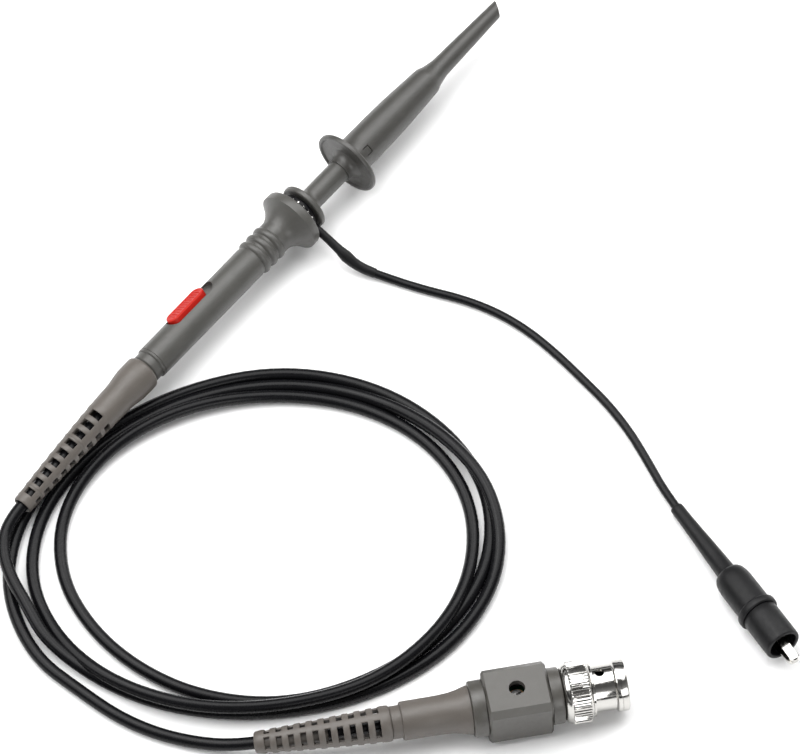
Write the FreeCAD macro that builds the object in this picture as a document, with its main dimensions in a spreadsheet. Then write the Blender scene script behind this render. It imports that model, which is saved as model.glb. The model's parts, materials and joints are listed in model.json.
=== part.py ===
import FreeCAD, Part
import math
import os
import Sketcher

# Oscilloscope probe. The head's axis runs along +X at table level z = 0 + half the finger flange,
# the origin is under the middle of the head, and the cable, the plug and the ground clip lie beside it.

doc = FreeCAD.newDocument("Probe")
Vector = FreeCAD.Vector
Rotation = FreeCAD.Rotation

# Driving dimensions in millimetres and degrees
SIZES = {
    # head shell, measured from its rear face
    "shellLength": 51.75,
    "shellDiameter": 8.15,
    "shellBore": 5.6,
    "shellChamfer": 0.4,
    "gripLength": 35.5,
    "ribFirst": 37.25,
    "ribPitch": 2.5,
    "ribWidth": 1.3,
    "ribDiameter": 9.2,
    "neckEnd": 45.5,
    "neckDiameter": 8.3,
    "guardLength": 2.4,
    "guardDiameter": 15.5,
    "noseSeat": 7.5,
    "collarLength": 2.25,
    "collarDiameter": 7.4,
    "spigotLength": 4.0,
    # boot of the head
    "bootLength": 44.6,
    "bootDiameter": 8.8,
    "bootWaist": 7.5,
    "bootTailDiameter": 4.7,
    "bootDrop": 2.83,
    "bootRoll": 13.0,
    "bootWindowFirst": 17.4,
    "bootWindowPitch": 3.0,
    "bootWindowWidth": 1.5,
    # coax
    "cableDiameter": 3.0,
    "cableFit": 0.03,
    "ferruleDiameter": 4.8,
    "ferruleLength": 9.0,
    # inside of the head
    "shieldWall": 0.3,
    "slipFit": 0.05,
    "boardThickness": 0.8,
    "boardWidth": 4.0,
    "boardLength": 24.0,
    "boardStart": 7.5,
    "needleDiameter": 0.8,
    "needleShown": 5.5,
    "insulatorDiameter": 2.55,
    "barrelDiameter": 4.0,
    "barrelShown": 11.0,
    # switch
    "switchStart": 9.5,
    "switchLength": 12.3,
    "switchWidth": 4.4,
    "switchTravel": 2.5,
    "switchProud": 0.85,
    "switchRoll": -40.0,
    "switchFit": 0.12,
    # ground ring
    "ringSpace": 2.5,
    "ringThickness": 2.1,
    "ringDiameter": 9.6,
    "ringFit": 0.04,
    "tailDiameter": 2.2,
    "leadSleeveDiameter": 2.6,
    "leadDiameter": 2.05,
    # hook
    "hookFlange": 1.5,
    "hookFlangeDiameter": 11.9,
    "hookBoss": 2.2,
    "hookBossDiameter": 7.2,
    "hookBarrelDiameter": 5.5,
    "hookBarrelShown": 12.0,
    "hookSpindleDiameter": 3.2,
    "spindleReach": 13.5,
    "socketDiameter": 1.5,
    "hookWireDiameter": 0.7,
    "springWire": 0.4,
    "sleeveTravel": 5.0,
    # outer sleeve of the hook
    "fingerDiameter": 16.7,
    "fingerThickness": 1.2,
    "fingerBoss": 2.4,
    "sleeveDiameter": 9.0,
    "sleeveFrontDiameter": 8.5,
    "sleeveStraight": 17.0,
    "sleeveTaper": 10.75,
    "sleeveTaperDiameter": 7.2,
    "sleeveShoulder": 5.0,
    "noseRootDiameter": 4.85,
    "noseTipDiameter": 3.6,
    "noseLength": 22.0,
    "noseSlant": 2.25,
    "noseBore": 2.5,
    "sleeveWallAhead": 1.5,
    # coil and plug places
    "coilHeight": 3.1,
    "coilX": -82.0,
    "coilY": -49.0,
    "coilTurn": -33.5,
    "coilLong": 115.0,
    "coilWide": 95.4,
    "coilInnerX": 3.3,
    "coilInnerTurn": -9.5,
    "coilInnerLong": 91.6,
    "coilInnerWide": 77.0,
    "plugX": -75.8,
    "plugY": -121.9,
    "plugTurn": -39.2,
    "tableGap": 0.05,
    # compensation box
    "boxLength": 15.0,
    "boxWidth": 13.4,
    "boxChamfer": 1.5,
    "boxBore": 10.6,
    "boxCollarDiameter": 13.2,
    "rearCollar": 3.4,
    "frontCollar": 2.9,
    "trimHole": 3.8,
    "compBoardWidth": 8.4,
    "trimmerDiameter": 4.4,
    "trimScrewDiameter": 2.8,
    # plug boot and sleeve
    "plugSleeveLength": 16.2,
    "plugSleeveDiameter": 9.1,
    "plugFlareDiameter": 11.5,
    "plugGroove": 2.4,
    "plugGrooveDiameter": 7.7,
    "plugBootLength": 31.5,
    "plugBootDiameter": 8.5,
    "plugBootTailDiameter": 5.2,
    "plugBootDrop": 4.4,
    "plugBootRoll": -37.6,
    "plugWindowFirst": 3.2,
    "plugWindowPitch": 2.8,
    "plugWindowWidth": 1.3,
    "clampDiameter": 6.0,
    # coaxial plug
    "nutLength": 15.0,
    "nutDiameter": 14.5,
    "nutKnurlEnd": 6.0,
    "nutShoulder": 1.1,
    "nutNeckWall": 0.55,
    "nutNeckLength": 5.1,
    "nutLip": 0.65,
    "contactSpace": 0.85,
    "nutFlange": 1.8,
    "nutGap": 0.1,
    "nutTravel": 0.8,
    "shankDiameter": 9.0,
    "shankFit": 0.05,
    "plateDiameter": 12.0,
    "plateThickness": 1.2,
    "chamberLength": 5.7,
    "chamberDiameter": 12.6,
    "contactDiameter": 8.1,
    "contactWall": 0.4,
    "contactLength": 8.5,
    "dielectricDiameter": 6.8,
    "pinDiameter": 1.35,
    # ground clip
    "clipX": -10.3,
    "clipY": -115.2,
    "clipZ": 1.8,
    "clipTurn": -107.9,
    "clipPitch": -5.5,
    "clipTailDiameter": 3.0,
    "clipNeckDiameter": 4.7,
    "clipNeckLength": 21.9,
    "clipBulbLength": 4.8,
    "clipBodyDiameter": 8.5,
    "clipBodyLength": 7.3,
    "clipRingDiameter": 9.9,
    "clipRingLength": 2.0,
    "clipMouthDiameter": 8.8,
    "clipMouthLength": 10.1,
    "clipWall": 0.85,
    "wireInClip": 8.0,
    "jawWidth": 3.1,
    "jawSheet": 0.4,
    "jawShown": 5.4,
    "pivotDiameter": 0.8,
}

sheet = doc.addObject("Spreadsheet::Sheet", "Sizes")
for row, (alias, value) in enumerate(SIZES.items(), 1):
    sheet.set(f"A{row}", alias)
    sheet.set(f"B{row}", str(value))
    sheet.setAlias(f"B{row}", alias)
doc.recompute()

nodes = []


def size(alias):
    return float(sheet.get(alias))


def term(text):
    """Puts the sheet's name before each alias of an expression."""
    words = []
    word = ""
    for letter in text + " ":
        if letter.isalnum() or letter == ".":
            word += letter
            continue
        words.append("Sizes." + word if word in SIZES else word)
        words.append(letter)
        word = ""
    return "".join(words).strip()


# Stations along the head, as expressions of the sheet
hookAt = "(shellLength + ringSpace)"
barrelAt = f"({hookAt} + hookFlange + hookBoss)"
fingerAt = f"({barrelAt} + hookBarrelShown)"
taperAt = f"({fingerAt} + fingerThickness + sleeveStraight)"
shoulderAt = f"({taperAt} + sleeveTaper)"
noseAt = f"({shoulderAt} + sleeveShoulder)"
tipAt = f"({noseAt} + noseLength)"
seatAt = f"({hookAt} + barrelShown - ringSpace + 0.75)"
nutAt = "(boxLength / 2 + frontCollar + nutGap)"
nutBore = "(contactDiameter + 2 * contactSpace)"
neckRadius = f"({nutBore} / 2 + nutNeckWall)"
plateAt = f"({nutAt} + chamberLength - plateThickness - 0.4)"
flareAt = "(-boxLength / 2 - rearCollar)"
grooveAt = f"({flareAt} - plugSleeveLength)"
plugBootAt = f"({grooveAt} - plugGroove)"
clipBodyAt = "(clipNeckLength + clipBulbLength)"
clipRingAt = f"({clipBodyAt} + clipBodyLength)"
clipMouthEnd = f"({clipRingAt} + clipRingLength + clipMouthLength)"

FRAMES = {
    "head": (f"(collarLength - {tipAt}) / 2", "0 * shellLength", "fingerDiameter / 2"),
    "plug": ("plugX", "plugY", "nutDiameter / 2 + tableGap"),
    "clip": ("clipX", "clipY", "clipZ"),
    "table": ("0 * shellLength", "0 * shellLength", "0 * shellLength"),
}
TURNS = {
    "head": Rotation(),
    "plug": Rotation(size("plugTurn"), 0, 0),
    "clip": Rotation(size("clipTurn"), size("clipPitch"), 0),
    "table": Rotation(),
}


def place(piece, frame, roll=0.0):
    """Puts a piece, modelled about its group's own axis, where the group lies."""
    turn = TURNS[frame].multiply(Rotation(Vector(1, 0, 0), roll))
    piece.Placement = FreeCAD.Placement(Vector(), turn)
    for letter, expression in zip("xyz", FRAMES[frame]):
        piece.setExpression(f"Placement.Base.{letter}", term(expression))


def keep(piece, label, frame, roll=0.0):
    piece.Label = label
    place(piece, frame, roll)
    nodes.append(piece)
    return piece


def profile(body, name, outline, plane):
    """A closed outline of straight lines; each corner is held by two bound distances."""
    sketch = body.newObject("Sketcher::SketchObject", name)
    planes = [item for item in body.Origin.OriginFeatures if item.Role == plane]
    sketch.AttachmentSupport = [(planes[0], "")]
    sketch.MapMode = "FlatFace"
    count = len(outline)
    for i in range(count):
        start = Vector(i + 1, (i * i) % 7 + 1, 0)
        last = i + 1 == count
        end = Vector(1, 1, 0) if last else Vector(i + 2, ((i + 1) ** 2) % 7 + 1, 0)
        sketch.addGeometry(Part.LineSegment(start, end), False)
    for i in range(count):
        sketch.addConstraint(Sketcher.Constraint("Coincident", i, 2, (i + 1) % count, 1))
    for i, corner in enumerate(outline):
        for kind, axis, expression in zip(("DistanceX", "DistanceY"), (-2, -1), corner):
            if expression == "0":
                sketch.addConstraint(Sketcher.Constraint("PointOnObject", i, 1, axis))
                continue
            held = sketch.addConstraint(Sketcher.Constraint(kind, -1, 1, i, 1, 1.0))
            sketch.setExpression(f"Constraints[{held}]", term(expression))
    return sketch


def turned(label, frame, outline, roll=0.0, kept=True):
    """A turned piece: its outline, as (place along the axis, radius), goes round the X axis."""
    body = doc.addObject("PartDesign::Body", label + "_body")
    sketch = profile(body, label + "_outline", outline, "XY_Plane")
    turn = body.newObject("PartDesign::Revolution", label + "_turn")
    turn.Profile = sketch
    turn.ReferenceAxis = (sketch, ["H_Axis"])
    turn.Angle = 360
    sketch.Visibility = False
    if kept:
        keep(body, label, frame, roll)
    return body


def tube(label, frame, start, end, outer, inner, roll=0.0, kept=True):
    """A plain tube or, with no inner diameter, a rod."""
    low = f"({inner}) / 2" if inner else "0"
    outline = [
        (start, low),
        (start, f"({outer}) / 2"),
        (end, f"({outer}) / 2"),
        (end, low),
    ]
    return turned(label, frame, outline, roll, kept)


def cylinder(name, radius, length, at, axis=Vector(0, 0, 1)):
    """A loose cylinder whose foot stands at three bound coordinates."""
    rod = doc.addObject("Part::Cylinder", name)
    rod.setExpression("Radius", term(radius))
    rod.setExpression("Height", term(length))
    rod.Placement = FreeCAD.Placement(Vector(), Rotation(Vector(0, 0, 1), axis))
    for letter, expression in zip("xyz", at):
        rod.setExpression(f"Placement.Base.{letter}", term(expression))
    return rod


def block(name, lengths, at):
    """A loose box with bound lengths, centred on Y, whose low corner has bound x and z."""
    box = doc.addObject("Part::Box", name)
    for side, expression in zip(("Length", "Width", "Height"), lengths):
        box.setExpression(side, term(expression))
    box.setExpression("Placement.Base.x", term(at[0]))
    box.setExpression("Placement.Base.y", term(f"-({lengths[1]}) / 2"))
    box.setExpression("Placement.Base.z", term(at[1]))
    return box


def joined(name, pieces):
    """One shape of several; a single piece only gets a placement of its own."""
    if len(pieces) == 1:
        group = doc.addObject("Part::Compound", name)
        group.Links = pieces
        return group
    fuse = doc.addObject("Part::MultiFuse", name)
    fuse.Shapes = pieces
    return fuse


def common(name, pieces):
    both = doc.addObject("Part::MultiCommon", name)
    both.Shapes = pieces
    return both


def cut(name, base, tools):
    """Takes the tools away one after the other."""
    for i, tool in enumerate(tools):
        result = doc.addObject("Part::Cut", f"{name}_{i}")
        result.Base = base
        result.Tool = tool
        base = result
    return base


def rolled(piece, angle):
    """Turns a loose group of pieces about the X axis."""
    piece.Placement = FreeCAD.Placement(Vector(), Rotation(Vector(1, 0, 0), angle))
    return piece


def stadium(name, length, width, height, start, foot):
    """A round-ended block standing on z = foot, from x = start."""
    half = f"({width}) / 2"
    middle = block(
        name + "_mid",
        (f"({length}) - ({width})", width, height),
        (f"({start}) + {half}", foot),
    )
    rear = cylinder(name + "_rear", half, height, (f"({start}) + {half}", "0", foot))
    front = cylinder(
        name + "_front", half, height, (f"({start}) + ({length}) - {half}", "0", foot)
    )
    return joined(name, [middle, rear, front])


def plain(label, shape, frame, roll=0.0):
    """A shape made with Part's own functions becomes a node."""
    piece = doc.addObject("Part::Feature", label + "_shape")
    piece.Shape = shape
    return keep(piece, label, frame, roll)


# Routes

def roundedPath(points):
    """Straight runs joined by tangent arcs, each as large as its two runs allow."""
    edges = []
    radii = []
    cursor = points[0]
    for before, corner, after in zip(points, points[1:], points[2:]):
        back = before - corner
        ahead = after - corner
        half = (math.pi - back.getAngle(ahead)) / 2
        reach = 0.45 * min(back.Length, ahead.Length)
        radii.append(reach / math.tan(half))
        back.normalize()
        ahead.normalize()
        first = corner + back * reach
        last = corner + ahead * reach
        inward = back + ahead
        inward.normalize()
        deep = radii[-1] / math.cos(half) - radii[-1]
        if (first - cursor).Length > 1e-6:
            edges.append(Part.LineSegment(cursor, first).toShape())
        edges.append(Part.Arc(first, corner + inward * deep, last).toShape())
        cursor = last
    edges.append(Part.LineSegment(cursor, points[-1]).toShape())
    return Part.Wire(edges), radii


def along(path, radius, start, direction):
    """A round section carried along a path."""
    ring = Part.Wire([Part.Circle(start, direction, radius).toShape()])
    return path.makePipeShell([ring], True, False)


def cord(label, points, diameter):
    """A plain round cord; its bends and its volume are printed."""
    points = [Vector(*point) for point in points]
    path, radii = roundedPath(points)
    solid = along(path, diameter / 2, points[0], points[1] - points[0])
    expected = math.pi * diameter**2 / 4 * path.Length
    print(
        f"{label}: length {path.Length:.1f}, tightest radius {min(radii):.1f},",
        f"volume {solid.Volume:.1f} of {expected:.1f}",
    )
    return plain(label, solid, "table")


class Bend:
    """The curved axis of a boot: it leaves a point against +X and droops in a rolled plane."""

    def __init__(self, start, length, drop, roll):
        self.start = Vector(start, 0, 0)
        self.length = length
        self.radius = (length**2 + drop**2) / (2 * drop)
        roll = math.radians(roll)
        self.down = Vector(0, -math.sin(roll), -math.cos(roll))

    def at(self, distance):
        angle = distance / self.radius
        back = Vector(-1, 0, 0) * (self.radius * math.sin(angle))
        return self.start + back + self.down * (self.radius * (1 - math.cos(angle)))

    def heading(self, distance):
        angle = distance / self.radius
        return Vector(-1, 0, 0) * math.cos(angle) + self.down * math.sin(angle)

    def pipe(self, first, last, radius):
        arc = Part.Arc(self.at(first), self.at((first + last) / 2), self.at(last))
        return along(Part.Wire([arc.toShape()]), radius, self.at(first), self.heading(first))


def bootShape(bend, stations, boreRadius, mouth, windows):
    """A tapered boot on a bend, with a wider mouth and rows of windows on four sides."""
    rings = []
    for distance, radius in stations:
        circle = Part.Circle(bend.at(distance), bend.heading(distance), radius)
        rings.append(Part.Wire([circle.toShape()]))
    shape = Part.makeLoft(rings, True, True)
    shape = shape.cut(bend.pipe(0, bend.length, boreRadius))
    if mouth:
        shape = shape.cut(bend.pipe(0, mouth[0], mouth[1]))
    first, pitch, count, width, tall, short = windows
    reach = 2 * stations[0][1] + 2
    cutters = []
    for i in range(count):
        distance = first + i * pitch
        height = tall + (short - tall) * i / (count - 1)
        for across, deep in ((height, reach), (reach, height)):
            box = Part.makeBox(width, across, deep, Vector(-width / 2, -across / 2, -deep / 2))
            turn = Rotation(Vector(-1, 0, 0), bend.heading(distance))
            box.Placement = FreeCAD.Placement(bend.at(distance), turn)
            cutters.append(box)
    return shape.cut(cutters)


# Head: shell with ribs, flared guard and switch window

shellHalf = "shellDiameter / 2"
shellOutline = [
    ("0", "shellBore / 2"),
    ("0", f"{shellHalf} - shellChamfer"),
    ("shellChamfer", shellHalf),
    ("gripLength", shellHalf),
]
for rib in range(3):
    centre = f"(ribFirst + {rib} * ribPitch)"
    shellOutline += [
        (f"{centre} - ribWidth / 2 - 0.25", "neckDiameter / 2 - 0.15"),
        (f"{centre} - ribWidth / 2", "ribDiameter / 2"),
        (f"{centre} + ribWidth / 2", "ribDiameter / 2"),
        (f"{centre} + ribWidth / 2 + 0.25", "neckDiameter / 2 - 0.15"),
    ]
flareLength = "(shellLength - guardLength - neckEnd)"
shellOutline += [
    ("ribFirst + 2 * ribPitch + ribWidth", "neckDiameter / 2"),
    ("neckEnd", "neckDiameter / 2"),
    (f"neckEnd + {flareLength} / 2", "neckDiameter / 2 + (guardDiameter - neckDiameter) * 0.17"),
    ("shellLength - guardLength", "guardDiameter / 2"),
    ("shellLength - 0.5", "guardDiameter / 2"),
    ("shellLength", "guardDiameter / 2 - 0.5"),
    ("shellLength", "barrelDiameter / 2 + slipFit / 2"),
    ("shellLength - noseSeat", "barrelDiameter / 2 + slipFit / 2"),
    ("shellLength - noseSeat", "shellBore / 2"),
]
shellBody = turned("head_shell", "head", shellOutline, kept=False)
slotTool = stadium(
    "switch_slot",
    "switchLength + switchTravel + 2 * switchFit",
    "switchWidth + 2 * switchFit",
    "shellDiameter",
    "switchStart - switchFit",
    "boardThickness",
)
rolled(slotTool, size("switchRoll"))
keep(cut("head_shell_cut", shellBody, [slotTool]), "head_shell", "head")

turned(
    "head_rear_collar",
    "head",
    [
        ("-collarLength", "ferruleDiameter / 2 + slipFit / 2"),
        ("-collarLength", "collarDiameter / 2 - 0.4"),
        ("-collarLength + 0.4", "collarDiameter / 2"),
        ("-0.02", "collarDiameter / 2"),
        ("-0.02", "shellBore / 2 - slipFit / 2"),
        ("spigotLength", "shellBore / 2 - slipFit / 2"),
        ("spigotLength", "ferruleDiameter / 2 + slipFit / 2"),
    ],
)
ferruleStart = "(spigotLength - ferruleLength)"
tube(
    "cable_ferrule",
    "head",
    ferruleStart,
    "spigotLength",
    "ferruleDiameter",
    "cableDiameter + 2 * cableFit",
)

# Inside the head
shieldOuter = "(shellBore - slipFit)"
shieldInner = f"({shieldOuter} - 2 * shieldWall)"
shieldBody = tube(
    "shield_tube",
    "head",
    "spigotLength + 0.1",
    "shellLength - noseSeat - 0.1",
    shieldOuter,
    shieldInner,
    kept=False,
)
shieldWindow = block(
    "shield_window",
    ("switchLength", "2.4 + 2 * switchFit", "shellDiameter"),
    ("switchStart + 1", "boardThickness"),
)
rolled(shieldWindow, size("switchRoll"))
keep(cut("shield_cut", shieldBody, [shieldWindow]), "shield_tube", "head")

board = block(
    "head_board",
    ("boardLength", "boardWidth", "boardThickness"),
    ("boardStart", "-boardThickness / 2"),
)
keep(joined("switch_board_group", [board]), "switch_board", "head", size("switchRoll"))
boardEnd = "(boardStart + boardLength)"
turned(
    "divider_resistor",
    "head",
    [
        (f"{boardEnd} + 0.1", "0"),
        (f"{boardEnd} + 0.1", "0.2"),
        (f"{boardEnd} + 1.5", "0.2"),
        (f"{boardEnd} + 1.5", "0.9"),
        ("shellLength - noseSeat - 6.3", "0.9"),
        ("shellLength - noseSeat - 6.3", "0.2"),
        ("shellLength - noseSeat - 4.6", "0.2"),
        ("shellLength - noseSeat - 4.6", "0"),
    ],
)
capacitor = block(
    "head_capacitor",
    ("2.6", "1.8", "1"),
    ("boardStart + 3", "-boardThickness / 2 - 1"),
)
keep(joined("capacitor_group", [capacitor]), "divider_capacitor", "head", size("switchRoll"))
tube(
    "nose_insulator",
    "head",
    "shellLength - noseSeat - 2",
    f"{seatAt} + 0.6",
    "insulatorDiameter",
    "needleDiameter + 0.02",
)
barrelEnd = "(shellLength + barrelShown)"
turned(
    "ground_barrel",
    "head",
    [
        ("shellLength - noseSeat + 0.05", "insulatorDiameter / 2 + slipFit / 2"),
        ("shellLength - noseSeat + 0.05", "barrelDiameter / 2"),
        (f"{barrelEnd} - 0.4", "barrelDiameter / 2"),
        (barrelEnd, "barrelDiameter / 2 - 0.4"),
        (barrelEnd, "insulatorDiameter / 2 + slipFit / 2"),
    ],
)
needleEnd = f"({seatAt} + 0.6 + needleShown)"
turned(
    "probe_needle",
    "head",
    [
        ("shellLength - noseSeat - 4.5", "0"),
        ("shellLength - noseSeat - 4.5", "needleDiameter / 2"),
        (f"{needleEnd} - 1.8", "needleDiameter / 2"),
        (f"{needleEnd} - 0.1", "0.08"),
        (needleEnd, "0"),
    ],
)

# Switch: red slider in the window, with its contact on the board
knob = stadium(
    "knob_block",
    "switchLength",
    "switchWidth",
    "shellDiameter / 2 + switchProud - shellBore / 2 - 0.1",
    "switchStart",
    "shellBore / 2 + 0.1",
)
crown = cylinder(
    "knob_crown",
    "shellDiameter / 2 + switchProud - 0.1",
    "switchLength + 2",
    ("switchStart - 1", "0", "0"),
    Vector(1, 0, 0),
)
keep(common("knob_common", [knob, crown]), "switch_knob", "head", size("switchRoll"))
contact = block(
    "contact_block",
    ("3", "1.8", "shellBore / 2 + 0.1 - boardThickness / 2 - 0.05"),
    ("switchStart + 4", "boardThickness / 2 + 0.05"),
)
keep(joined("contact_group", [contact]), "switch_contact", "head", size("switchRoll"))

# Head boot on its droop, and the coax inside it
headBend = Bend(-size("collarLength") - 0.05, size("bootLength"), size("bootDrop"), size("bootRoll"))
bootEnd = size("bootDiameter") / 2
waist = size("bootWaist") / 2
bootTail = size("bootTailDiameter") / 2
bootStations = [
    (0, bootEnd - 0.5),
    (0.7, bootEnd),
    (0.11 * size("bootLength"), bootEnd),
    (0.2 * size("bootLength"), waist + 0.08),
    (0.28 * size("bootLength"), waist),
]
for step in range(1, 9):
    share = step / 8
    bootStations.append(
        (size("bootLength") * (0.28 + 0.72 * share), waist + (bootTail - waist) * share)
    )
bore = size("cableDiameter") / 2 + size("cableFit")
ferruleInBoot = size("ferruleLength") - size("spigotLength") - size("collarLength") + 0.2
headBoot = bootShape(
    headBend,
    bootStations,
    bore,
    (ferruleInBoot, size("ferruleDiameter") / 2 + size("cableFit")),
    (size("bootWindowFirst"), size("bootWindowPitch"), 9, size("bootWindowWidth"), 2.9, 1.9),
)
plain("head_strain_relief", headBoot, "head")
cableIn = headBend.pipe(ferruleInBoot + 0.1, size("bootLength"), size("cableDiameter") / 2)
plain("cable_in_head", cableIn, "head")

# Hook: barrel with rear flange, socket, hooked wire and spring
hookEnd = f"({fingerAt} + spindleReach)"
hookShoulder = f"({fingerAt} + 2)"
turned(
    "hook_barrel",
    "head",
    [
        (hookAt, "barrelDiameter / 2 + slipFit"),
        (hookAt, "hookFlangeDiameter / 2 - 0.4"),
        (f"{hookAt} + 0.4", "hookFlangeDiameter / 2"),
        (f"{hookAt} + hookFlange - 0.4", "hookFlangeDiameter / 2"),
        (f"{hookAt} + hookFlange", "hookFlangeDiameter / 2 - 0.4"),
        (f"{hookAt} + hookFlange", "hookBossDiameter / 2"),
        (barrelAt, "hookBarrelDiameter / 2"),
        (hookShoulder, "hookBarrelDiameter / 2"),
        (hookShoulder, "hookSpindleDiameter / 2"),
        (hookEnd, "hookSpindleDiameter / 2"),
        (hookEnd, "socketDiameter / 2 + 0.01"),
        (f"{barrelEnd} + 1.4", "socketDiameter / 2 + 0.01"),
        (f"{barrelEnd} + 1.4", "barrelDiameter / 2 + slipFit"),
    ],
)
tube(
    "hook_socket",
    "head",
    f"{barrelEnd} + 1.6",
    f"{needleEnd} + 1",
    "socketDiameter",
    "needleDiameter + 0.04",
)

tipX = size("shellLength") + size("ringSpace") + size("hookFlange") + size("hookBoss")
tipX += size("hookBarrelShown") + size("fingerThickness") + size("sleeveStraight")
tipX += size("sleeveTaper") + size("sleeveShoulder") + size("noseLength")
fingerX = size("shellLength") + size("ringSpace") + size("hookFlange")
fingerX += size("hookBoss") + size("hookBarrelShown")
needleX = size("shellLength") + size("barrelShown") + 1.35 + size("needleShown")
wireRadius = size("hookWireDiameter") / 2
low = -(size("noseBore") / 2 - wireRadius - 0.25)
spindleX = fingerX + size("spindleReach")
wireStart = needleX + 1.05
wirePoints = [
    Vector(wireStart, 0, 0),
    Vector(spindleX + 0.8, 0, 0),
    Vector(spindleX + 4.5, 0, low),
    Vector(spindleX + 8.5, 0, low),
]
wirePath, wireRadii = roundedPath(wirePoints)
hookX = tipX - size("noseSlant") - 1.6
turnBack = Part.Arc(Vector(hookX, 0, low), Vector(hookX - low, 0, 0), Vector(hookX, 0, -low))
shank = Part.LineSegment(wirePoints[-1], Vector(hookX, 0, low)).toShape()
barb = Part.LineSegment(Vector(hookX, 0, -low), Vector(hookX - 0.9, 0, -low)).toShape()
hookPath = Part.Wire(wirePath.Edges + [shank, turnBack.toShape(), barb])
hookWire = along(hookPath, wireRadius, wirePoints[0], Vector(1, 0, 0))
plain("hook_wire", hookWire, "head")

tube(
    "hook_spring",
    "head",
    f"{hookShoulder} + 0.05",
    f"{taperAt} + sleeveWallAhead - 0.05",
    "hookSpindleDiameter + 0.2 + 2 * springWire",
    "hookSpindleDiameter + 0.2",
)

# Outer sleeve with finger flange, tapering into a slanted nose
sleeveBore = "(hookBarrelDiameter / 2 + 2 * slipFit)"
sleeveBody = turned(
    "hook_sleeve",
    "head",
    [
        (f"{fingerAt} - fingerBoss", sleeveBore),
        (f"{fingerAt} - fingerBoss", "hookBarrelDiameter / 2 + 0.7"),
        (f"{fingerAt} - 0.6", "sleeveDiameter / 2 + 0.2"),
        (fingerAt, "sleeveDiameter / 2 + 1.4"),
        (fingerAt, "fingerDiameter / 2 - 0.3"),
        (f"{fingerAt} + 0.3", "fingerDiameter / 2"),
        (f"{fingerAt} + fingerThickness - 0.3", "fingerDiameter / 2"),
        (f"{fingerAt} + fingerThickness", "fingerDiameter / 2 - 0.3"),
        (f"{fingerAt} + fingerThickness", "sleeveDiameter / 2"),
        (taperAt, "sleeveFrontDiameter / 2"),
        (shoulderAt, "sleeveTaperDiameter / 2"),
        (f"{shoulderAt} + sleeveShoulder * 0.4", "sleeveTaperDiameter / 2 - 0.6"),
        (noseAt, "noseRootDiameter / 2"),
        (tipAt, "noseTipDiameter / 2"),
        (tipAt, "noseBore / 2"),
        (f"{taperAt} + sleeveWallAhead", "noseBore / 2"),
        (f"{taperAt} + sleeveWallAhead", sleeveBore),
    ],
    kept=False,
)
slant = math.degrees(math.atan2(size("noseSlant"), size("noseTipDiameter")))
noseCut = doc.addObject("Part::Box", "nose_cut")
for side in ("Length", "Width", "Height"):
    noseCut.setExpression(side, term("noseTipDiameter * 3"))
half = 1.5 * size("noseTipDiameter")
noseCut.Placement = FreeCAD.Placement(
    Vector(tipX, size("noseTipDiameter") / 2, 0), Rotation(Vector(0, 0, 1), -slant)
).multiply(FreeCAD.Placement(Vector(0, 1 - 2 * half, -half), Rotation()))
keep(cut("hook_sleeve_cut", sleeveBody, [noseCut]), "hook_sleeve", "head")

# Ground ring on the barrel, its tail and the start of the lead
ringMiddle = "(shellLength + ringSpace / 2)"
tube(
    "ground_ring",
    "head",
    f"{ringMiddle} - ringThickness / 2",
    f"{ringMiddle} + ringThickness / 2",
    "ringDiameter",
    "barrelDiameter + 2 * ringFit",
)
headX = (size("collarLength") - tipX) / 2
ringX = headX + size("shellLength") + size("ringSpace") / 2
axisZ = size("fingerDiameter") / 2
ringRadius = size("ringDiameter") / 2
tailStart = Vector(ringX, -ringRadius * 0.955, axisZ - ringRadius * 0.25)
tailEnd = Vector(ringX + 0.1, -14.3, 3.75)
sleeveEnd = Vector(ringX + 1.5, -20.4, 1.75)
tailPath, tailRadii = roundedPath([tailStart, (tailStart + tailEnd) / 2 + Vector(0, 0, 0.12), tailEnd])
tail = along(tailPath, size("tailDiameter") / 2, tailStart, tailPath.Edges[0].tangentAt(0))
ringSolid = Part.makeCylinder(
    ringRadius, size("ringSpace"), Vector(ringX - size("ringSpace") / 2, 0, axisZ), Vector(1, 0, 0)
)
plain("ground_ring_tail", tail.cut(ringSolid), "table")
sleeveCorner = Vector(ringX + 0.6, -17.6, 2.35)
sleevePath, sleeveRadii = roundedPath([tailEnd, sleeveCorner, sleeveEnd])
leadSleeve = along(sleevePath, size("leadSleeveDiameter") / 2, tailEnd, sleeveCorner - tailEnd)
plain("lead_sleeve", leadSleeve, "table")

# Ground lead on the table, from its sleeve to the clip's boot and a little way into it
leadRadius = size("leadDiameter") / 2
clipStart = Vector(size("clipX"), size("clipY"), size("clipZ"))
clipAxis = TURNS["clip"].multVec(Vector(1, 0, 0))
leadLie = leadRadius + 0.02
leadGap = (sleeveEnd - sleeveCorner).normalize() * 0.8
cord(
    "ground_lead_wire",
    [
        sleeveEnd + leadGap,
        (-5.4, -25.6, leadLie),
        (-2.6, -33.2, leadLie),
        (1.0, -41.2, leadLie),
        (3.4, -49.4, leadLie),
        (4.3, -58.0, leadLie),
        (3.8, -67.0, leadLie),
        (2.5, -76.2, leadLie),
        (1.1, -85.2, leadLie),
        (-1.4, -94.0, leadLie),
        (-5.0, -102.6, leadLie),
        clipStart - clipAxis * 4,
        clipStart + clipAxis * size("wireInClip"),
    ],
    size("leadDiameter"),
)

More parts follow.
